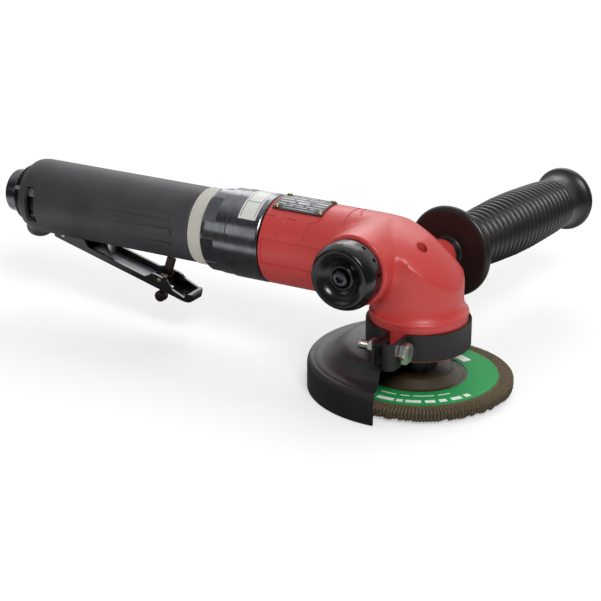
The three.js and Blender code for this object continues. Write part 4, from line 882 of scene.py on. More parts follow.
@dataclass
class HeadCasting:
    """Red die casting: neck, crown and motor barrel in one, with bosses, bores and engraved lines."""

    lines: Lines
    neck_radius: float = 22.9
    barrel_radius: float = 23.45
    barrel_rear: float = -83.0
    spigot_radius: float = 20.85
    spigot_rear: float = -108.4
    crown_x: float = -34.6
    crown_z: float = -13.4
    crown_across: float = 40.0
    crown_along: float = 100.0
    crown_rear: float = -26.0
    crown_neck_top: float = 50.0
    brow_x: float = -24.0
    brow_z: float = 44.0
    brow_radii: tuple[float, float, float] = (48.3, 41.3, 42.7)
    easing: tuple[float, float, float, float] = (-41.5, -30.8, 9.1, 90.0)  # middle and radius
    cap_boss: float = 19.3
    handle_boss: float = 8.6
    skin_rounds: int = 7  # rounds of smoothing, which make the fillets
    cap_rounds: int = 34
    handle_rounds: int = 14
    foot_rounds: int = 16
    line_radius: float = 0.52
    panel_depth: float = 0.55
    cell: float = 0.72  # faces of the skin that carries the fillets

    def build(self) -> None:
        """Builds the casting."""
        cast = self._skin()
        cast.add(self._foot(), self._spigot())
        self._groove(cast)
        self._bore(cast)
        cast.piece("head_casting", RED_ENAMEL, "head_housing")

    def _crown(self) -> Shape:
        """Makes the solid whose skin is the oblique face over the gears."""
        across = self.crown_across
        shift = self.crown_along - across
        count = 48
        profile: list[Spot] = [(0, -across)]
        for i in range(count + 1):
            angle = math.pi * (i / count - 0.5)
            profile.append((shift + across * math.cos(angle), across * math.sin(angle)))
        profile.append((0, across))
        crown = Shape.turned(profile, steps=240)
        crown.placed(Matrix.Translation((self.crown_x, 0, self.crown_z)) @ turned_to("X", 90))
        crown.keep(Shape.ball((self.brow_x, 0, self.brow_z), self.brow_radii))
        *middle, radius = self.easing
        return crown.keep(Shape.ball(middle, (radius, radius, radius)))

    def _skin(self) -> Shape:
        """Makes the outside of the casting above its foot, with its fillets."""
        lines = self.lines
        cast = Shape.rod(self.neck_radius, 39, 112, steps=96)
        barrel = Shape.rod(self.barrel_radius, self.barrel_rear, 0, steps=96)
        cast.add(barrel.placed(lines.motor))
        limit = self._crown()
        limit.add(Shape.block((-220, -120, -120), (self.crown_rear, 120, 240)))
        limit.add(Shape.block((-119, -119, -119), (119, 119, self.crown_neck_top)))
        cast.keep(limit)
        boss = Shape.turned([(0, -32), (20, -32), (self.cap_boss, 0, 1.6), (0, 0)])
        cast.add(boss.placed(lines.cap).keep(Shape.block((-90, -33, 0), (90, 0, 200))))
        reach = self.handle_boss
        stub = Shape.turned([(0, -22), (reach, -22), (reach, -6, 1.5), (0, -6)], steps=64)
        cast.add(stub.placed(lines.handle))
        cast.reskinned(self.cell).smoothed(self.skin_rounds)
        cast.smoothed(self.cap_rounds, self._by_cap_boss)
        cast.smoothed(self.handle_rounds, self._by_handle_boss)
        cast.smoothed(self.foot_rounds, lambda spot: spot.z < 54 and -40 < spot.x < -12)
        return cast

    def _by_cap_boss(self, spot: Vector) -> bool:
        """Tells whether a point lies where the cap's boss flows into the barrel and neck."""
        local = self.lines.cap.inverted() @ spot
        reach = math.hypot(local.x, local.y)
        return self.cap_boss - 1.2 < reach < self.cap_boss + 7 and -20 < local.z < -1.2

    def _by_handle_boss(self, spot: Vector) -> bool:
        """Tells whether a point lies where the side handle's boss flows into the crown."""
        local = self.lines.handle.inverted() @ spot
        reach = math.hypot(local.x, local.y)
        return self.handle_boss - 1.5 < reach < self.handle_boss + 6 and -26 < local.z < -8

    def _foot(self) -> Shape:
        """Makes the turned foot of the neck: the clamp band's seat and the rolled lip over it."""
        top = 48.0
        return Shape.turned(
            [
                (0, 20),
                (25.5, 20, 0.5),
                (25.5, 38.2),
                (25.75, 38.7, 0.3),
                (25.75, 40.2, 0.7),
                (24.5, 40.9, 0.7),
                (self.neck_radius + 0.03, 44.4, 1.9),
                (self.neck_radius + 0.03, 46.4),
                (self.neck_radius - 0.7, top),
                (0, top),
            ],
            steps=144,
        )

    def _spigot(self) -> Shape:
        """Makes the threaded rear of the barrel that the collar screws onto."""
        rear, radius = self.spigot_rear, self.spigot_radius
        spigot = Shape.turned([(0, rear), (radius, rear, 0.8), (radius, -80), (0, -80)])
        return spigot.placed(self.lines.motor)

    def _line(self, corners: Sequence[tuple[float, float]]) -> Shape:
        """Makes the cutter of one engraved line, given its corners as x and angle."""
        path = []
        for (x0, a0), (x1, a1) in zip(corners, corners[1:]):
            count = max(2, int(math.hypot(x1 - x0, 0.4 * (a1 - a0)) / 0.8))
            path += [(x0 + (x1 - x0) * i / count, a0 + (a1 - a0) * i / count) for i in range(count)]
        path.append(corners[-1])
        skin = self.barrel_radius + 0.05
        return Shape.wire([self.lines.on_barrel(x, angle, skin) for x, angle in path], self.line_radius)

    def _groove(self, cast: Shape) -> None:
        """Engraves the casting's stepped lines and sinks the bare panel on its side."""
        stepped = [
            [(-83.8, 44), (-81.4, 50.5), (-76.6, 49.3)],
            [(-72.9, 24), (-69.4, 48.2), (-68.2, 50), (-63.9, 49)],
            [(-57.1, 24), (-55.6, 45.2), (-54.6, 49), (-52.0, 52), (-50.6, 58), (-50.6, 108)],
            [(-36.9, 51.2), (-38.1, 75.2), (-37.4, 104)],
            [(-31.5, 76.6), (-33.6, 90), (-34.6, 105)],
        ]
        far_side = [[(x, 180 - angle) for x, angle in corners if angle < 88] for corners in stepped]
        for corners in stepped + far_side:
            cast.cut(self._line(corners))
        skin = self.barrel_radius
        for first, last in ((-15.5, 18.5), (161.5, 195.5)):
            panel = self.lines.patch(skin - self.panel_depth, skin + 2, -81, -46.5, first, last)
            panel.eased(1.4, 4, 60, lambda spot: abs(self._off_axis(spot) - skin - 0.8) < 1.1)
            cast.cut(panel)

    def _off_axis(self, spot: Vector) -> float:
        """Returns a point's distance from the motor line."""
        return math.hypot(spot.y, spot.z - self.lines.axis)

    def _bore(self, cast: Shape) -> None:
        """Cuts the bores for the spindle, motor, exhaust, side handle, grease plug and rivets."""
        lines = self.lines
        spindle = [(0, 19), (19.1, 19), (19.1, 26), (17.6, 26), (17.6, 37), (15.5, 37)]
        spindle += [(19.6, 42), (19.6, 57), (12, 66.5), (6.05, 66.5), (6.05, 73.6), (0, 73.6)]
        motor = [(0, -110), (19.1, -110), (19.1, -38.1), (13.1, -38.1)]
        motor += [(13.1, -26.6), (12.6, -26.6), (12.6, -4), (0, -4)]
        cast.cut(Shape.turned(spindle, steps=64))
        cast.cut(Shape.turned(motor, steps=64).placed(lines.motor))
        cast.cut(Shape.tube(5.4, 12.5, -11.5, 1, steps=48).placed(lines.cap))
        cast.cut(Shape.rod(2.62, -17, 1).placed(lines.cap))
        cast.cut(Shape.rod(5.3, -22, 1).placed(lines.handle))
        duct = Matrix.Translation((0, -19.8, lines.axis)) @ turned_to("Y", 90)
        cast.cut(Shape.rod(2.6, -60.6, -22.2).placed(duct))
        cast.cut(Shape.rod(2.75, lines.axis + 5, 120).placed(Matrix.Translation((5, -9, 0))))
        for x, angle in RivetedPlate.rivets():
            cast.cut(Shape.rod(1.1, 20.6, 26).placed(rivet_line(lines, x, angle)))

def rivet_line(lines: Lines, x: float, angle: float) -> Matrix:
    """Returns the frame of a rivet whose local Z points out of the barrel."""
    return Matrix.Translation((x, 0, lines.axis)) @ turned_to("X", 90 - angle)


@dataclass
class RivetedPlate:
    """Etched data plate bent over the barrel, with blank fields and four brass rivets."""

    lines: Lines
    inner: float = 23.65
    outer: float = 24.4
    rear: float = -80.4
    front: float = -51.0
    first: float = 61.0
    last: float = 103.5

    @staticmethod
    def rivets() -> list[tuple[float, float]]:
        """Returns the rivets' places as x and angle above the -Y side."""
        return [(x, angle) for x in (-78.4, -52.6) for angle in (65.0, 99.0)]

    def build(self) -> None:
        """Builds the plate, its blank fields and its rivets."""
        plate = self.lines.patch(self.inner, self.outer, self.rear, self.front, self.first, self.last)
        plate.eased(0.16, 2)
        for x, angle in self.rivets():
            plate.cut(Shape.rod(1.15, 20, 26).placed(rivet_line(self.lines, x, angle)))
        plate.piece("data_plate", PLATE_BLACK, "name_plate")
        self._fields().piece("data_plate_fields", PLATE_SILVER, body=body_of("name_plate"))
        for index, (x, angle) in enumerate(self.rivets()):
            place = rivet_line(self.lines, x, angle)
            seat = place @ Vector((0, 0, 24))
            packed = (f"plate_rivet_{number}" for number in range(1, 5))
            node = next(name for name in packed if (middle_of(name) - seat).length < 4)
            profile = [(0, 20.95), (0.78, 20.95, 0.2), (0.78, 24.72)]
            profile += [(1.55, 24.72, 0.15), (1.3, 25.2, 0.45), (0, 25.4)]
            rivet = Shape.turned(profile, steps=40).placed(place)
            rivet.piece(f"plate_rivet_{index + 1}_domed", TARNISHED_BRASS, node)

    def _fields(self) -> Shape:
        """Makes the plate's blank silver fields, left unprinted."""
        low, high = self.outer - 0.05, self.outer + 0.05
        rows = {
            63.6: [(-74.5, -56.0)],
            67.6: [(-75.5, -69.0), (-68.0, -61.0), (-60.0, -55.5)],
            71.0: [(-79.0, -74.0), (-72.5, -64.0), (-62.5, -52.5)],
            76.0: [(-78.5, -70.0), (-59.5, -52.5)],
            82.0: [(-79.0, -72.0), (-70.5, -62.5), (-58.5, -52.0)],
            88.0: [(-79.0, -66.0), (-64.0, -55.0)],
            94.0: [(-74.5, -61.0), (-59.5, -55.5)],
        }
        fields = self.lines.patch(low, high + 0.03, -68.0, -61.5, 75.0, 79.5)
        for angle, spans in rows.items():
            for start, end in spans:
                fields.beside(self.lines.patch(low, high, start, end, angle, angle + 1.9))
        return fields


@dataclass
class ExhaustCap:
    """Dished exhaust cap with a fat rounded rim, held to its boss by a socket screw."""

    lines: Lines
    holes: int = 5
    hole_pitch: float = 26.0

    def build(self) -> None:
        """Builds the cap and its screw."""
        cap = Shape.turned(
            [
                (2.7, 0.3),
                (17.4, 0.3, 0.4),
                (17.75, 5.0, 2.0),
                (17.75, 11.0, 3.2),
                (15.2, 14.2, 2.6),
                (11.8, 13.9, 2.2),
                (8.9, 10.6, 2.4),
                (6.9, 10.2, 0.6),
                (6.6, 11.6, 0.4),
                (5.2, 11.6, 0.35),
                (4.75, 10.2, 0.3),
                (2.7, 10.0),
            ],
            steps=128,
        )
        inside = Shape.turned(
            [(5.4, -1), (15.6, -1), (14.6, 9.0), (11.2, 8.6), (8.0, 7.2), (5.4, 7.0)],
            steps=64,
        )
        cap.cut(inside)
        for index in range(self.holes):
            turn = turned_to("Z", self.hole_pitch * (index - 2) + 8.0)
            hole = Shape.rod(1.15, 11.5, 30, steps=24)
            cap.cut(hole.placed(turn @ Matrix.Translation((0, 0, 4.6)) @ turned_to("Y", 90)))
        cap.placed(self.lines.cap).piece("exhaust_cap_dished", BLACK_CAP, "exhaust_cap")
        screw = Shape.turned(
            [(0, -6.4), (2.45, -6.4, 0.4), (2.45, 10.3), (4.1, 10.3, 0.2), (4.1, 13.2, 0.6), (0, 13.2)],
            steps=64,
        )
        socket = Shape.turned([(0, 10.8), (2.35, 11.4), (2.35, 15), (0, 15)], steps=6)
        screw.cut(socket)
        screw.placed(self.lines.cap).piece("exhaust_cap_socket_screw", BLACK_SCREW, "exhaust_cap_screw")


@dataclass
class Coupling:
    """Notched black collar that holds the motor barrel to the handle, and the pale fibre ring behind it."""

    lines: Lines
    rear: float = -119.0
    front: float = -83.35
    radius: float = 23.6
    rear_radius: float = 23.15
    bore: float = 20.95
    lip: float = 19.3
    notches: int = 6
    notch_phase: float = 0.75  # share of a pitch between the collar's top and its first notch
    notch_depth: float = 1.9
    notch_width: float = 15.0
    notch_length: float = 9.0

    def build(self) -> None:
        """Builds the collar, its sticker and the ring."""
        rear, front = self.rear, self.front
        collar = Shape.turned(
            [
                (self.lip, rear),
                (21.7, rear, 0.4),
                (self.rear_radius, rear + 2.4, 0.8),
                (self.rear_radius, -103.4, 0.15),
                (self.radius, -102.9, 0.2),
                (self.radius, front - 1.0, 0.35),
                (22.9, front, 0.3),
                (self.bore, front),
                (self.bore, rear + 2.5),
                (self.lip, rear + 2.5),
            ],
            steps=144,
        )
        for index in range(self.notches):
            notch = Shape.block(
                (23.2 - self.notch_depth, -self.notch_width / 2, rear - 1),
                (40, self.notch_width / 2, rear + self.notch_length),
            )
            notch.eased(0.5, 3, 60, lambda spot: spot.z > rear and abs(spot.x - 30) < 9)
            collar.cut(notch.placed(turned_to("Z", 360 * (index + self.notch_phase) / self.notches)))
        collar.placed(self.lines.motor).piece("notched_collar", BLACK_TURNED_X, "clamp_collar")
        self._sticker()
        low, high = rear - 8.35, rear - 0.05
        section = [(self.lip, low), (self.bore, low, 0.3), (self.bore, high, 0.3), (self.lip, high)]
        ring = Shape.turned(section, steps=144)
        ring.placed(self.lines.motor).piece("fibre_spacer", PRESSED_FIBRE, "fibre_ring")

    def _sticker(self) -> None:
        """Makes the white film on the collar and the black lines ruled on it."""
        film = self.lines.patch(23.58, 23.68, -97.2, -86.6, 38.5, 128.0)
        film.piece("collar_sticker", WHITE_FILM, body=body_of("clamp_collar"))
        ink = (23.66, 23.7)
        ruling = self.lines.patch(*ink, -96.2, -95.9, 42.0, 126.0)
        for rest in ((-87.9, -87.6, 42.0, 126.0), (-95.7, -88.1, 66.0, 66.8), (-95.7, -88.1, 96.0, 96.8)):
            ruling.beside(self.lines.patch(*ink, *rest))
        ruling.piece("collar_sticker_ruling", BLACK_INK, body=body_of("clamp_collar"))


@dataclass
class HandleGrip:
    """Nylon handle sleeve with a heel behind the lever, tapering ribs and a window for the air dial."""

    lines: Lines
    radius: float = 20.65
    rear: float = -242.0
    front: float = -127.5
    bore: float = 18.0
    mouth: float = 16.3
    cell: float = 0.68  # faces of the skin that carries the heel's fillet
    skin_rounds: int = 5
    heel_rounds: int = 36
    rib_stock: tuple[float, float] = (-1.4, 0.12)  # from the sleeve's skin, before a rib is tapered
    rib_sink: float = 0.16  # how far its thin end is let down
    rib_rise: float = 0.8  # how much higher its wide end is
    rib_swell: float = 0.7
    rib_taper: float = 0.93  # share of its width that it loses

    def build(self) -> None:
        """Builds the sleeve."""
        lines = self.lines
        front = self.front
        grip = Shape.turned(
            [
                (0, self.rear),
                (16.9, self.rear, 0.4),
                (19.5, self.rear + 1.0, 1.6),
                (self.radius, self.rear + 4.6, 2.4),
                (self.radius, front, 0.5),
                (0, front),
            ],
            steps=144,
        ).placed(lines.motor)
        grip.add(Shape.ball((-240.3, 0, lines.axis - 18.6), (8.2, 9.4, 6.6)))
        grip.reskinned(self.cell).smoothed(self.skin_rounds)
        grip.smoothed(self.heel_rounds, lambda spot: spot.x < -226 and spot.z < lines.axis - 13)
        grip.add(self._rib(-216.7, -139.3, 20.0, 24.3, 5.4))
        grip.add(self._rib(-196.0, -138.4, -1.5, 1.0, 5.3))
        grip.add(self._rib(-165.2, -139.6, -20.0, -20.6, 3.6))
        grip.cut(self._inside())
        grip.cut(Shape.block((-228, -8.7, 0), (-184, 8.7, lines.axis - 14.8)))
        window = lines.patch(self.bore - 1, 30, -235.4, -229.2, -30, 30)
        grip.cut(window.eased(1.0, 3, 60))
        grip.piece("handle_sleeve", GRIP_NYLON, "handle_grip")

    def _rib(self, x0: float, x1: float, angle0: float, angle1: float, half: float) -> Shape:
        """Makes one rib that starts as a thin line and ends as a wide square-ended bar.

        Args:
            x0: thin end.
            x1: wide end.
            angle0: angle of the thin end's middle above the -Y side, in degrees.
            angle1: angle of the wide end's middle.
            half: half the angle that the wide end covers.

        Returns:
            The rib.
        """
        low, high = (self.radius + reach for reach in self.rib_stock)
        rib = self.lines.patch(low, high, x0, x1, angle1 - half, angle1 + half)
        for vert in rib.mesh.verts:
            share = (x1 - vert.co.x) / (x1 - x0)
            reach = math.hypot(vert.co.y, vert.co.z - self.lines.axis)
            angle = math.degrees(math.atan2(vert.co.z - self.lines.axis, -vert.co.y))
            target = angle1 + (angle0 - angle1) * share + (angle - angle1) * (1 - self.rib_taper * share)
            if reach > self.radius:
                reach += self.rib_rise * (1 - share) ** self.rib_swell - self.rib_sink
            vert.co = self.lines.on_barrel(vert.co.x, target, reach)
        return rib.eased(0.25, 2, 50)

    def _inside(self) -> Shape:
        """Makes the cutter of the sleeve's bore."""
        wall = self.rear + 1.4
        profile = [(0, -255), (self.mouth, -255), (self.mouth, wall)]
        profile += [(self.bore, wall + 1.6), (self.bore, -126), (0, -126)]
        return Shape.turned(profile).placed(self.lines.motor)


@dataclass
class AirInlet:
    """Inlet bushing with its glossy flange, and the air dial whose numerals show in the window."""

    lines: Lines
    knurls: int = 48
    numeral_height: float = 4.2

    def build(self) -> None:
        """Builds the bushing, the dial and its numerals."""
        bushing = Shape.turned(
            [
                (5.7, -255.6),
                (6.3, -255.6, 0.4),
                (11.5, -255.6, 0.4),
                (12.1, -255.0, 0.3),
                (12.1, -246.8, 0.3),
                (9.6, -246.8),
                (9.6, -236.9),
                (9.0, -236.9),
                (9.0, -234.7),
                (4.7, -234.7),
                (4.7, -238.5),
                (5.7, -238.5),
            ],
        )
        bushing.placed(self.lines.motor).piece("inlet_bushing_turned", BLACK_INLET, "inlet_bushing")
        dial = Shape.turned(
            [
                (9.72, -246.6),
                (15.4, -246.6, 0.5),
                (15.95, -245.9, 0.4),
                (15.95, -238.7),
                (17.6, -238.7),
                (17.6, -228.7, 0.3),
                (16.1, -228.7),
                (16.1, -237.2),
                (9.72, -237.2),
            ],
            steps=128,
        )
        for index in range(self.knurls):
            slot = Shape.block((15.7, -0.25, -248), (17, 0.25, -242.2))
            dial.cut(slot.placed(turned_to("Z", 360 / self.knurls * index)))
        dial.placed(self.lines.motor).piece("air_dial", BROWNED_DIAL, "regulator_ring")
        tiles_and_highlight = self.lines.patch(17.55, 17.68, -235.2, -229.4, 14.0, 29.0)
        for first in (-34.0, -90.0, 70.0):
            tiles_and_highlight.beside(self.lines.patch(17.55, 17.68, -235.0, -229.6, first, first + 13.0))
        # This silver patch on the dial's rear flange is a painted highlight, standing in for a bright
        # reflection there.
        tiles_and_highlight.beside(self.lines.patch(15.9, 16.05, -246.2, -241.8, 22.5, 30.0))
        tiles_and_highlight.piece("air_dial_tiles_and_painted_highlight", PLATE_SILVER, body=body_of("regulator_ring"))
        marks = None
        for text, angle in (("0", 22.5), ("1", -27.5), ("2", -83.5), ("3", 76.5)):
            mark = Shape.number(text, self.numeral_height, 0.16).placed(self._numeral(angle))
            marks = mark if marks is None else marks.beside(mark)
        marks.piece("air_dial_numerals", BLACK_INK, body=body_of("regulator_ring"))

    def _numeral(self, angle: float) -> Matrix:
        """Returns the frame of a numeral that lies on the dial and reads from behind the tool."""
        out = self.lines.on_barrel(0, angle, 1) - Vector((0, 0, self.lines.axis))
        right = Vector((1, 0, 0))
        up = out.cross(right)
        turn = Matrix((right, up, out)).transposed().to_4x4()
        return Matrix.Translation(self.lines.on_barrel(-232.3, angle, 17.72)) @ turn


@dataclass
class Throttle:
    """Pressed throttle lever, its safety lock, their pins and the valve plunger."""

    lines: Lines
    width: float = 15.0
    sheet: float = 1.5
    under: float = 3.5
    near_wall: float = 3.4
    far_wall: float = 5.4
    nose_x: float = 85.4
    nose_radius: float = 2.5
    knob_radius: float = 3.2
    knob_half: float = 2.6

    def build(self) -> None:
        """Builds the lever, the lock and the pins."""
        self._lever().placed(self.lines.lever).piece("lever_channel", BLACK_GLOSS_SHEET, "throttle_lever")
        floor = self.sheet - self.under
        # The channel floor gets a thin pale sheet: painted reflection of the bright backdrop in the gloss
        # black floor.
        bare = Shape.block((18, -5.95, floor), (self.lines.lock_home.x - 9.5, 5.95, floor + 0.06))
        bare.placed(self.lines.lever).piece("channel_floor_painted_reflection", FLOOR_REFLECTION_GREY, body=body_of("throttle_lever"))
        self._lock().placed(self.lines.lock).piece("lock_tab", BROWNED_STEEL, "lock_lever")
        half = self.width / 2 + 0.4
        across = turned_to("X", 90)
        hinge = Shape.rod(1.45, -half, half, 0.3, steps=40).placed(self.lines.lever @ across)
        hinge.piece("lever_hinge_pin", DRAWN_STEEL_X, "lever_pin")
        pin = Shape.rod(1.25, -half, half, 0.3, steps=40).placed(self.lines.lock @ across)
        pin.piece("lock_pin", YELLOW_ZINC, "lock_lever_pin")
        self._plunger().piece("plunger", GROUND_STEEL, "valve_plunger")

    def _side(self, height: float) -> Shape:
        """Makes one side wall of the channel, lying in X and Z, up to this height."""
        home = self.lines.lock_home
        top = height - self.under
        ear = max(top, home.z + 2.0)
        wall = Shape.prism(
            [
                (-6, -self.under, 1.2),
                (self.nose_x, -self.under, 0.8),
                (self.nose_x, top - 1.6, 0.8),
                (home.x + 8.5, top, 1.0),
                (home.x + 4.5, ear, 1.4),
                (home.x - 5.5, ear, 1.4),
                (home.x - 8.5, top, 1.4),
                (17, top, 1.2),
                (14, 3, 0.8),
                (-6, 3, 1.8),
            ],
            0,
            self.sheet,
        )
        wall.cut(Shape.rod(1.62, -1, 3))
        wall.cut(Shape.rod(1.35, -1, 3).placed(Matrix.Translation((home.x, home.z, 0))))
        return wall.placed(turned_to("X", 90))

    def _lever(self) -> Shape:
        """Makes the whole channel in the lever's own frame."""
        half = self.width / 2
        home = self.lines.lock_home
        lever = Shape.block((4.2, -half, -self.under), (self.nose_x, half, self.sheet - self.under))
        lever.add(self._side(self.far_wall).placed(Matrix.Translation((0, half, 0))))
        lever.add(self._side(self.near_wall).placed(Matrix.Translation((0, self.sheet - half, 0))))
        nose = Shape.rod(self.nose_radius, -half, half, 1.0, steps=48).placed(turned_to("X", 90))
        lever.add(nose.placed(Matrix.Translation((self.nose_x, 0, self.nose_radius - self.under))))
        under = self.under
        lever.cut(Shape.block((home.x - 9, -2.2, -under - 1), (home.x + 6, 2.2, self.sheet - under + 1)))
        tip = self.nose_x + self.nose_radius
        wide = half + 1
        plan = [(-9, -wide), (60, -wide), (60, -half), (tip, -half, 5.5)]
        plan += [(tip, half, 5.5), (60, half), (60, wide), (-9, wide)]
        lever.keep(Shape.prism(plan, -20, 20))
        return lever.eased(0.32, 2, 50)

    def _lock(self) -> Shape:
        """Makes the lock lever in its own frame: tab, hub and the round knob under it."""
        lock = Shape.block((-2.3, -1.5, -3.0), (2.3, 1.5, 12.1))
        lock.eased(0.35, 2)
        across = turned_to("X", 90)
        lock.add(Shape.rod(3, -1.5, 1.5, 0.3, steps=40).placed(across))
        tab = Shape.block((-1.5, -1.5, -12.0), (1.5, 1.5, 0.0))
        lock.add(tab.eased(0.3, 2))
        knob = Shape.rod(self.knob_radius, -self.knob_half, self.knob_half, 0.9, steps=48).placed(across)
        lock.add(knob.placed(Matrix.Translation((0, 0, -12.8))))
        return lock.cut(Shape.rod(1.42, -3, 3).placed(across))

    def _plunger(self) -> Shape:
        """Makes the plunger that the lever pushes, with a rounded foot."""
        low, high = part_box("valve_plunger")
        bottom, top = low[2] / MM, high[2] / MM
        profile = [(0, bottom), (1.5, bottom, 0.3), (2.45, bottom + 1, 0.5)]
        profile += [(2.45, top - 4), (1.8, top - 4), (1.8, top), (0, top)]
        return Shape.turned(profile, steps=40).placed(Matrix.Translation((self.lines.valve_x, 0, 0)))


@dataclass
class SideHandle:
    """Moulded side handle: round guard disc, ribbed bulging barrel and a flared thick end."""

    lines: Lines
    rib_start: float = 9.0
    rib_end: float = 113.5
    rib_pitch: float = 4.55
    rib_depth: float = 2.1
    barrel: tuple[tuple[float, float], ...] = (  # height above the disc, and radius over the ribs
        (5, 14.6),
        (20, 15.0),
        (30, 15.6),
        (39, 16.2),
        (56, 16.95),
        (72, 16.95),
        (86, 16.4),
        (100, 15.7),
        (110, 14.8),
        (118, 13.8),
    )

    def build(self) -> None:
        """Builds the handle."""
        handle = Shape.turned(self._profile())
        handle.placed(self.lines.handle).piece("ribbed_side_handle", HANDLE_RUBBER, "side_handle_grip")

    def _barrel(self, height: float) -> float:
        """Returns the radius over the ribs at a height above the disc."""
        for (z0, r0), (z1, r1) in zip(self.barrel, self.barrel[1:]):
            if height <= z1:
                share = (height - z0) / (z1 - z0)
                return r0 + (r1 - r0) * share
        return self.barrel[-1][1]

    def _profile(self) -> list[Spot]:
        """Returns the outline from the hub, over the disc and ribs, to the bore."""
        profile: list[Spot] = [
            (5.12, -5.6),
            (7.2, -5.6, 0.4),
            (8.2, -1.7, 1.0),
            (22.6, -1.9, 1.0),
            (24.55, -0.6, 1.2),
            (24.55, 1.2, 1.0),
            (22.8, 2.1, 1.0),
            (16.2, 3.4, 1.6),
        ]
        count = round((self.rib_end - self.rib_start) / self.rib_pitch)
        for rib in range(count):
            for part in range(8):
                share = part / 8
                height = self.rib_start + (rib + share) * self.rib_pitch
                crest = math.sin(math.pi * share) ** 0.8 if share else 0.0
                profile.append((self._barrel(height) - self.rib_depth * (1 - crest), height))
        profile += [
            (13.2, 114.4),
            (13.4, 119.0, 1.5),
            (15.2, 123.4, 2.0),
            (17.9, 125.6, 0.9),
            (18.3, 127.7, 1.0),
            (16.8, 130.1, 1.6),
            (11.5, 130.85, 1.5),
            (8.0, 130.1, 0.8),
            (0, 130.1),
            (0, 61),
            (5.12, 61),
        ]
        return profile


@dataclass
class WheelGuard:
    """Half guard over the wheel with its clamp band, slotted bolt and nut."""

    lines: Lines
    sheet: float = 1.6
    radius: float = 57.4
    top: float = 13.65
    skirt: float = -2.95
    ear_gap: tuple[float, float] = (-3.7, 5.2)
    thread: tuple[float, float] = (2.1, 2.5)  # root and crest of the clamp bolt's thread
    pitch: float = 0.8

    def build(self) -> None:
        """Builds the guard, the band, the bolt and the nut."""
        self._guard().piece("pressed_guard", BLACK_SHEET, "wheel_guard")
        self._band().piece("clamp_band", BLACK_SHEET, "guard_clamp_band")
        self._bolt().placed(self.lines.bolt).piece("slotted_clamp_bolt", ZINC_PLATE, "guard_clamp_bolt")
        self._nut().placed(self.lines.bolt).piece("clamp_nut", ZINC_PLATE, "guard_clamp_nut")

    def _guard(self) -> Shape:
        """Makes the pressed shell, cut along its open front."""
        outer, sheet, top = self.radius, self.sheet, self.top
        shell = Shape.turned(
            [
                (25.8, 19.55),
                (38.4, 19.55, 3.0),
                (46.2, top - sheet, 4.0),
                (53.2, top - sheet, 0.5),
                (54.6, top - sheet - 0.2, 0.5),
                (outer - sheet, top - sheet - 2.0, 1.6),
                (outer - sheet, self.skirt),
                (outer, self.skirt, 0.3),
                (outer, top - 1.6, 1.8),
                (55.6, top, 0.8),
                (54.4, top - 0.45, 0.6),
                (52.6, top, 0.6),
                (46.8, top, 4.0),
                (39.0, 21.15, 3.0),
                (25.8, 21.15),
            ],
            steps=160,
        )
        plan = [(-4.7, -28, 3), (-4.7, 28, 3), (13.3, 92.5), (-120, 92.5), (-120, -92.5), (13.3, -92.5)]
        return shell.keep(Shape.prism(plan, -40, 60))

    def _band(self) -> Shape:
        """Makes the band round the neck, its flat ear and its rolled ear."""
        low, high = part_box("guard_clamp_band")
        bottom, top = low[2] / MM, high[2] / MM
        section = [(25.72, bottom), (27.3, bottom, 0.3), (27.3, top, 0.3), (25.72, top)]
        band = Shape.turned(section, steps=144)
        left, right = self.ear_gap
        sheet = self.sheet
        band.cut(Shape.block((left, -34.3, bottom - 1), (right, 0, top + 1)))
        rear = Shape.block((left - sheet, -42.5, bottom), (left, -26.1, top)).eased(0.25)
        front = Shape.block((right, -39.6, bottom), (right + sheet, -25.3, top))
        bend = Shape.tube(2.1, 3.7, bottom, top, steps=96, start=-180, arc=180)
        back = Shape.block((-0.6, -39.6, bottom), (1.0, -34.5, top))
        front.add(bend.placed(Matrix.Translation((3.1, -39.5, 0))), back)
        band.add(rear, front.eased(0.25))
        return band.cut(Shape.rod(2.8, -17, 17).placed(self.lines.bolt))

    def _bolt(self) -> Shape:
        """Makes the bolt along its own Z, with thread ridges and a slotted hexagon head."""
        seat = 7.1
        root, crest = self.thread
        profile: list[Spot] = [(0, -17.6), (1.9, -17.6)]
        height = -17.0
        while height < -3.5:
            profile += [(root, height), (crest, height + self.pitch / 2)]
            height += self.pitch
        profile += [(root, height), (crest, height + 0.5), (crest, seat + 1), (0, seat + 1)]
        bolt = Shape.turned(profile, steps=32)
        head = Shape.turned([(0, seat), (5.77, seat), (5.77, seat + 3.5), (0, seat + 3.5)], steps=6)
        head.placed(turned_to("Z", 30))
        top = seat + 3.5
        crown = [(0, seat - 1), (5.9, seat - 1), (5.9, seat + 2.9), (4.9, top), (0, top)]
        head.keep(Shape.turned(crown, steps=64))
        bolt.add(head)
        bolt.cut(Shape.block((-10, -0.65, seat + 2.2), (10, 0.65, seat + 5)))
        return bolt

    def _nut(self) -> Shape:
        """Makes the hexagon nut with chamfered corners."""
        top = -5.6
        nut = Shape.turned([(0, top - 5.4), (4.62, top - 5.4), (4.62, top), (0, top)], steps=6)
        nut.placed(turned_to("Z", 30))
        crown = [(0, top - 5.4), (4.0, top - 5.4), (4.7, top - 4.9), (4.7, top - 0.5), (4.0, top), (0, top)]
        nut.keep(Shape.turned(crown, steps=64))
        return nut.cut(Shape.rod(2.62, -20, 0))


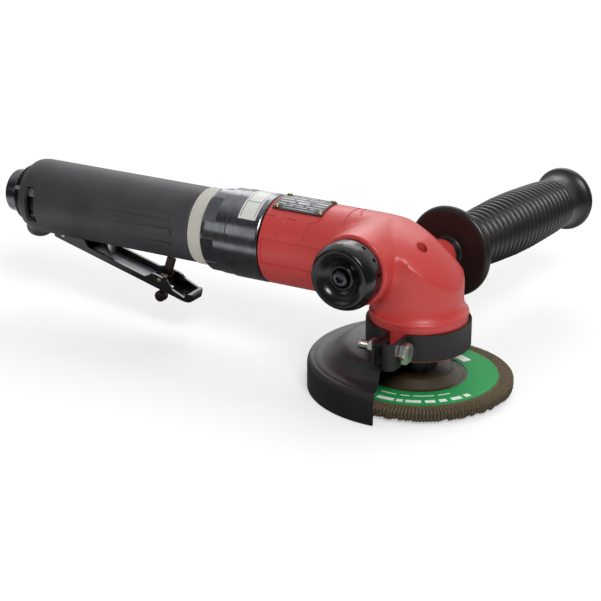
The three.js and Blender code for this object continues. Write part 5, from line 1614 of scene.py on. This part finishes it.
@dataclass
class Wheel:
    """Depressed-centre grinding wheel with a ribbed rim, its label, flange and nut."""

    lines: Lines
    radius: float = 50.0
    ribs: int = 168
    rib_inner: float = 43.2
    label_top: float = 4.28
    rib_sinks: tuple[float, ...] = (0.0, 0.42, 0.85, 0.42)  # crest, slope, groove, slope
    under_share: float = 0.4  # how deep the ribs are on the underside, as a share of the top's
    chips: tuple[float, ...] = (0.0, 0.0, 0.003, 0.008, 0.014)  # broken off the lower edge, by radius
    chip_lift: float = 40.0  # how far a chip's edge rises, in millimetres for the whole radius
    rim_groove: float = 0.012
    rim_wobble: float = 0.004

    def build(self) -> None:
        """Builds the wheel, its label, the flange over it and the nut under it."""
        self._disc().piece("abrasive_wheel", WHEEL_GRIT, "grinding_wheel")
        paper = self.label_top
        label = Shape.turned([(26, 4.0), (42, 4.0), (42, paper, 0.1), (26, paper, 0.1)], steps=144)
        label.piece("blotter", GREEN_PAPER, "wheel_label")
        print_marks = self._arc(28.5, 33.5, 58, 78)
        words = [(-112, 7), (-103, 4), (-96, 14), (-80, 5), (-73, 12), (-58, 8), (-47, 6), (-37, 9), (-25, 5)]
        for start, arc in words:
            print_marks.beside(self._arc(36.2, 39.4, start, arc))
        for start, arc in ((-100, 16), (-80, 9), (-68, 20), (-44, 12)):
            print_marks.beside(self._arc(30.6, 31.6, start, arc))
        print_marks.piece("blotter_rings", WHITE_INK, body=body_of("wheel_label"))
        self._flange().piece("drive_flange", BLACK_TURNED_Z, "wheel_flange")
        self._nut().piece("wheel_nut", GROUND_STEEL, "flange_nut")
        self._retainer().piece("bearing_nut", BLACK_TURNED_Z, "bearing_retainer")

    def _arc(self, inner: float, outer: float, start: float, arc: float) -> Shape:
        """Makes a thin printed band on the label."""
        return Shape.tube(inner, outer, self.label_top - 0.02, self.label_top + 0.03, start=start, arc=arc)

    def _disc(self) -> Shape:
        """Makes the wheel with ribs pressed into its rim and a broken lower edge."""
        rim = self.radius
        disc = Shape.turned(
            [
                (8.0, 3.5),
                (18.0, 3.5, 1.0),
                (23.5, -1.9, 1.0),
                (self.rib_inner, -1.9),
                (47.0, -1.9),
                (rim - 0.7, -1.9),
                (rim - 0.15, -1.2),
                (rim - 0.1, 1.5),
                (rim - 0.1, 3.2),
                (rim - 0.8, 3.9),
                (47.0, 3.95),
                (self.rib_inner, 3.95),
                (self.rib_inner - 0.5, 3.9),
                (23.8, 3.9, 1.2),
                (18.5, 8.45, 1.0),
                (8.0, 8.45),
            ],
            steps=4 * self.ribs,
        )
        dice = random.Random(7)
        chips = [dice.choice(self.chips) for _ in range(self.ribs)]
        quarter = 2 * math.pi / (4 * self.ribs)
        for vert in disc.mesh.verts:
            reach = math.hypot(vert.co.x, vert.co.y)
            if reach < self.rib_inner - 0.1:
                continue
            place = round(math.atan2(vert.co.y, vert.co.x) / quarter)
            step = place % 4
            sink = self.rib_sinks[step] * min(1.0, (reach - self.rib_inner + 0.6) / 1.5)
            low = vert.co.z < 1.2
            vert.co.z += self.under_share * sink if low else -sink
            if reach > rim - 1.0:
                chip = chips[place // 4 % self.ribs] if low else 0.0
                pull = 1 - (dice.random() * self.rim_wobble + self.rim_groove * (step == 2) + chip)
                vert.co.x *= pull
                vert.co.y *= pull
                vert.co.z += self.chip_lift * chip
        return disc

    def _flange(self) -> Shape:
        """Makes the flange between wheel and head, with two wrench flats."""
        flange = Shape.turned([(7.6, 8.55), (10.2, 8.55, 0.3), (10.2, 15.0, 0.5), (7.6, 15.0)])
        low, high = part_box("wheel_flange")
        bottom, top = low[2] / MM, high[2] / MM
        for side in (1, -1):
            flange.cut(Shape.block((8.5 * side, -20, bottom + 1.5), (20 * side, 20, top + 1)))
        return flange

    def _nut(self) -> Shape:
        """Makes the round spanner nut under the wheel."""
        section = [(5.05, 0.4), (13.3, 0.4, 0.4), (14, 1.2, 0.3), (14, 3.5)]
        section += [(7.95, 3.5), (7.95, 5.7), (5.05, 5.7)]
        nut = Shape.turned(section)
        for side in (1, -1):
            nut.cut(Shape.rod(1.6, -1, 5).placed(Matrix.Translation((10.5 * side, 0, 0))))
        return nut

    def _retainer(self) -> Shape:
        """Makes the ring nut that closes the foot of the neck."""
        ring = Shape.turned(
            [(8.82, 20.4), (19, 20.4, 0.3), (19, 25.95), (14.3, 25.95), (14.3, 24.5), (8.82, 24.5)]
        )
        for side in (1, -1):
            ring.cut(Shape.rod(1.6, 19, 23).placed(Matrix.Translation((14.2 * side, 0, 0))))
        return ring


@dataclass
class Internals:
    """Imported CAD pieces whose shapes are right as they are: bearings, gears, motor and valve."""

    def dress(self) -> None:
        """Gives each piece its real material."""
        finishes = {
            GROUND_STEEL: ("spindle", "bevel_gear"),
            RACE_STEEL: tuple(
                f"{bearing}_bearing_{part}"
                for bearing in ("lower", "front", "rear")
                for part in ("inner", "outer", "balls")
            ),
            DRAWN_STEEL_X: (
                "rotor",
                "bevel_pinion",
                "grease_plug",
                "side_handle_stud",
                "valve_spring",
                "lock_spring",
            ),
            CAST_IRON: ("cylinder_liner", "front_end_plate", "rear_end_plate"),
            LAMINATE: ("vane_1", "vane_2", "vane_3", "vane_4"),
            BRASS: ("upper_bearing", "inlet_screen", "throttle_valve", "valve_seat", "valve_cap"),
            MACHINED_ALUMINIUM: ("throttle_housing",),
        }
        for finish, names in finishes.items():
            for name in names:
                finish.wear_on(frame["nodes"][name])
                LOG.info("%s: packed shape, %s", name, finish.title)


# ---------------------------------------------------------------------------------------------------
# Studio


@dataclass
class Softbox:
    """One soft square lamp that is aimed at the middle of the tool. Its lengths are in metres."""

    title: str
    place: tuple[float, float, float]
    size: float
    watts: float
    target: tuple[float, float, float] = (-0.08, 0.0, 0.05)

    def build(self) -> None:
        """Builds the lamp and aims it."""
        light = bpy.data.lights.new(self.title, "AREA")
        light.shape = "SQUARE"
        light.size = self.size
        light.energy = self.watts
        lamp = bpy.data.objects.new(self.title, light)
        lamp.location = self.place
        aim = Vector(self.target) - Vector(self.place)
        lamp.rotation_euler = aim.to_track_quat("-Z", "Y").to_euler()
        bpy.context.scene.collection.objects.link(lamp)


@dataclass
class Studio:
    """Plain pale studio, seen through a long lens from the wheel end and a little above."""

    camera_place: tuple[float, float, float] = (0.38555065, -0.80442258, 0.38595024)
    camera_right: tuple[float, float, float] = (0.86992576, 0.4931806, 0.00143961)
    camera_up: tuple[float, float, float] = (-0.17808501, 0.31140104, 0.93344262)
    camera_back: tuple[float, float, float] = (0.45990749, -0.81228215, 0.35872386)
    lens: float = 111.48
    sensor: float = 36.0
    floor_height: float = -3.3 * MM
    floor_middle: tuple[float, float] = (-0.1, 0.03)
    floor_fade: Range = (0.17, 0.36)  # reach over which the floor turns plain white
    floor_glow: Range = (0.45, 1.0)  # share of plain white near the tool, and far off
    paper: tuple[float, float, float, float] = (0.92, 0.92, 0.92, 1.0)
    white: tuple[float, float, float, float] = (1.0, 1.0, 1.0, 1.0)
    bright_side: tuple[float, float, float] = (-0.25, 0.75, 0.61)  # behind the tool and above it
    dim: float = 0.12
    bright: float = 1.0
    mirrored_floor: Range = (0.12, 1.2)  # brightness in polished pieces, before the lit strip and in it
    strip_near: Range = (0.15, 0.22)  # reach over which the strip grows
    strip_far: Range = (0.27, 0.36)  # reach over which it ends

    def build(self) -> None:
        """Builds the camera, the floor, the world and the lamps."""
        scene = bpy.context.scene
        scene.view_settings.view_transform = "Standard"
        self._camera()
        self._floor()
        self._world()
        Softbox("overhead softbox", (-0.2, 0.7, 0.95), 0.7, 3.4).build()
        Softbox("front softbox", (0.6, -0.72, 0.95), 0.45, 11.5).build()
        Softbox("side softbox", (-0.65, -0.9, 0.42), 0.4, 0.5).build()
        Softbox("rear softbox", (-0.51, 0.85, 0.65), 0.5, 1.7).build()

    def _camera(self) -> None:
        """Builds the camera."""
        data = bpy.data.cameras.new("camera")
        data.lens = self.lens
        data.sensor_width = self.sensor
        data.clip_start = 0.01
        camera = bpy.data.objects.new("camera", data)
        axes = Matrix((self.camera_right, self.camera_up, self.camera_back)).transposed()
        camera.matrix_world = Matrix.Translation(self.camera_place) @ axes.to_4x4()
        bpy.context.scene.collection.objects.link(camera)
        bpy.context.scene.camera = camera

    def _floor(self) -> None:
        """Builds a pale floor that keeps the shadow and fades into the white behind it."""
        mesh = bmesh.new()
        bmesh.ops.create_circle(mesh, cap_ends=True, segments=96, radius=3.0)
        bmesh.ops.translate(mesh, verts=mesh.verts, vec=(*self.floor_middle, self.floor_height))
        data = bpy.data.meshes.new("floor")
        mesh.to_mesh(data)
        mesh.free()
        material = bpy.data.materials.new("matt white paper backdrop")
        material.use_nodes = True
        self._paper(Nodes(material.node_tree))
        data.materials.append(material)
        floor = bpy.data.objects.new("floor", data)
        bpy.context.scene.collection.objects.link(floor)

    def _paper(self, nodes: Nodes) -> None:
        """Fills in the floor's look: paper that turns plain white, and a lit strip in reflections."""
        x, y = self.floor_middle
        place = nodes.add("ShaderNodeTexCoord").outputs["Object"]
        flat = {"Vector": place, "Location": (-x, -y, 0.0), "Scale": (1.0, 1.0, 0.0)}
        centred = nodes.add("ShaderNodeMapping", flat).outputs[0]
        reach = nodes.add("ShaderNodeVectorMath", {0: centred}, operation="LENGTH").outputs["Value"]
        fade = nodes.ranged(reach, self.floor_fade, self.floor_glow, smooth=True)
        rays = nodes.add("ShaderNodeLightPath").outputs
        looked_at = nodes.maths("MULTIPLY", rays["Is Camera Ray"], fade)
        amount = nodes.maths("MAXIMUM", looked_at, rays["Is Glossy Ray"])
        near_end = nodes.ranged(reach, self.strip_near, self.mirrored_floor, smooth=True)
        far_end = nodes.ranged(reach, self.strip_far, (1.0, self.dim), smooth=True)
        strip = nodes.maths("MULTIPLY", near_end, far_end)
        level = nodes.ranged(rays["Is Glossy Ray"], (0.0, 1.0), (1.0, strip))
        matt = nodes.add("ShaderNodeBsdfDiffuse", {"Color": self.paper}).outputs[0]
        glow = nodes.add("ShaderNodeEmission", {"Color": self.white, "Strength": level}).outputs[0]
        both = nodes.add("ShaderNodeMixShader", {0: amount, 1: matt, 2: glow}).outputs[0]
        nodes.add("ShaderNodeOutputMaterial", {"Surface": both})

    def _world(self) -> None:
        """Builds the world: white where it is seen, a soft gradient of light elsewhere."""
        world = bpy.data.worlds.new("studio")
        world.use_nodes = True
        nodes = Nodes(world.node_tree)
        rays = nodes.add("ShaderNodeLightPath").outputs
        seen = nodes.maths("MAXIMUM", rays["Is Camera Ray"], rays["Is Transmission Ray"])
        toward = {0: nodes.add("ShaderNodeTexCoord").outputs["Generated"], 1: self.bright_side}
        upward = nodes.add("ShaderNodeVectorMath", toward, operation="DOT_PRODUCT").outputs["Value"]
        level = nodes.ranged(upward, (0.0, 0.9), (self.dim, self.bright), smooth=True)
        light = {"Color": self.white, "Strength": nodes.maths("MAXIMUM", seen, level)}
        back = nodes.add("ShaderNodeBackground", light).outputs[0]
        nodes.add("ShaderNodeOutputWorld", {"Surface": back})
        bpy.context.scene.world = world


def main() -> None:
    """Builds the studio, then each sub-assembly in order."""
    logging.basicConfig(level=logging.INFO, format="%(name)s: %(message)s")
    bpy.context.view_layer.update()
    Studio().build()
    lines = Lines()
    housings = (HeadCasting, RivetedPlate, ExhaustCap, Coupling, HandleGrip)
    for assembly in (*housings, AirInlet, Throttle, SideHandle, WheelGuard, Wheel):
        assembly(lines).build()
    Internals().dress()


if __name__ == "__main__":
    main()
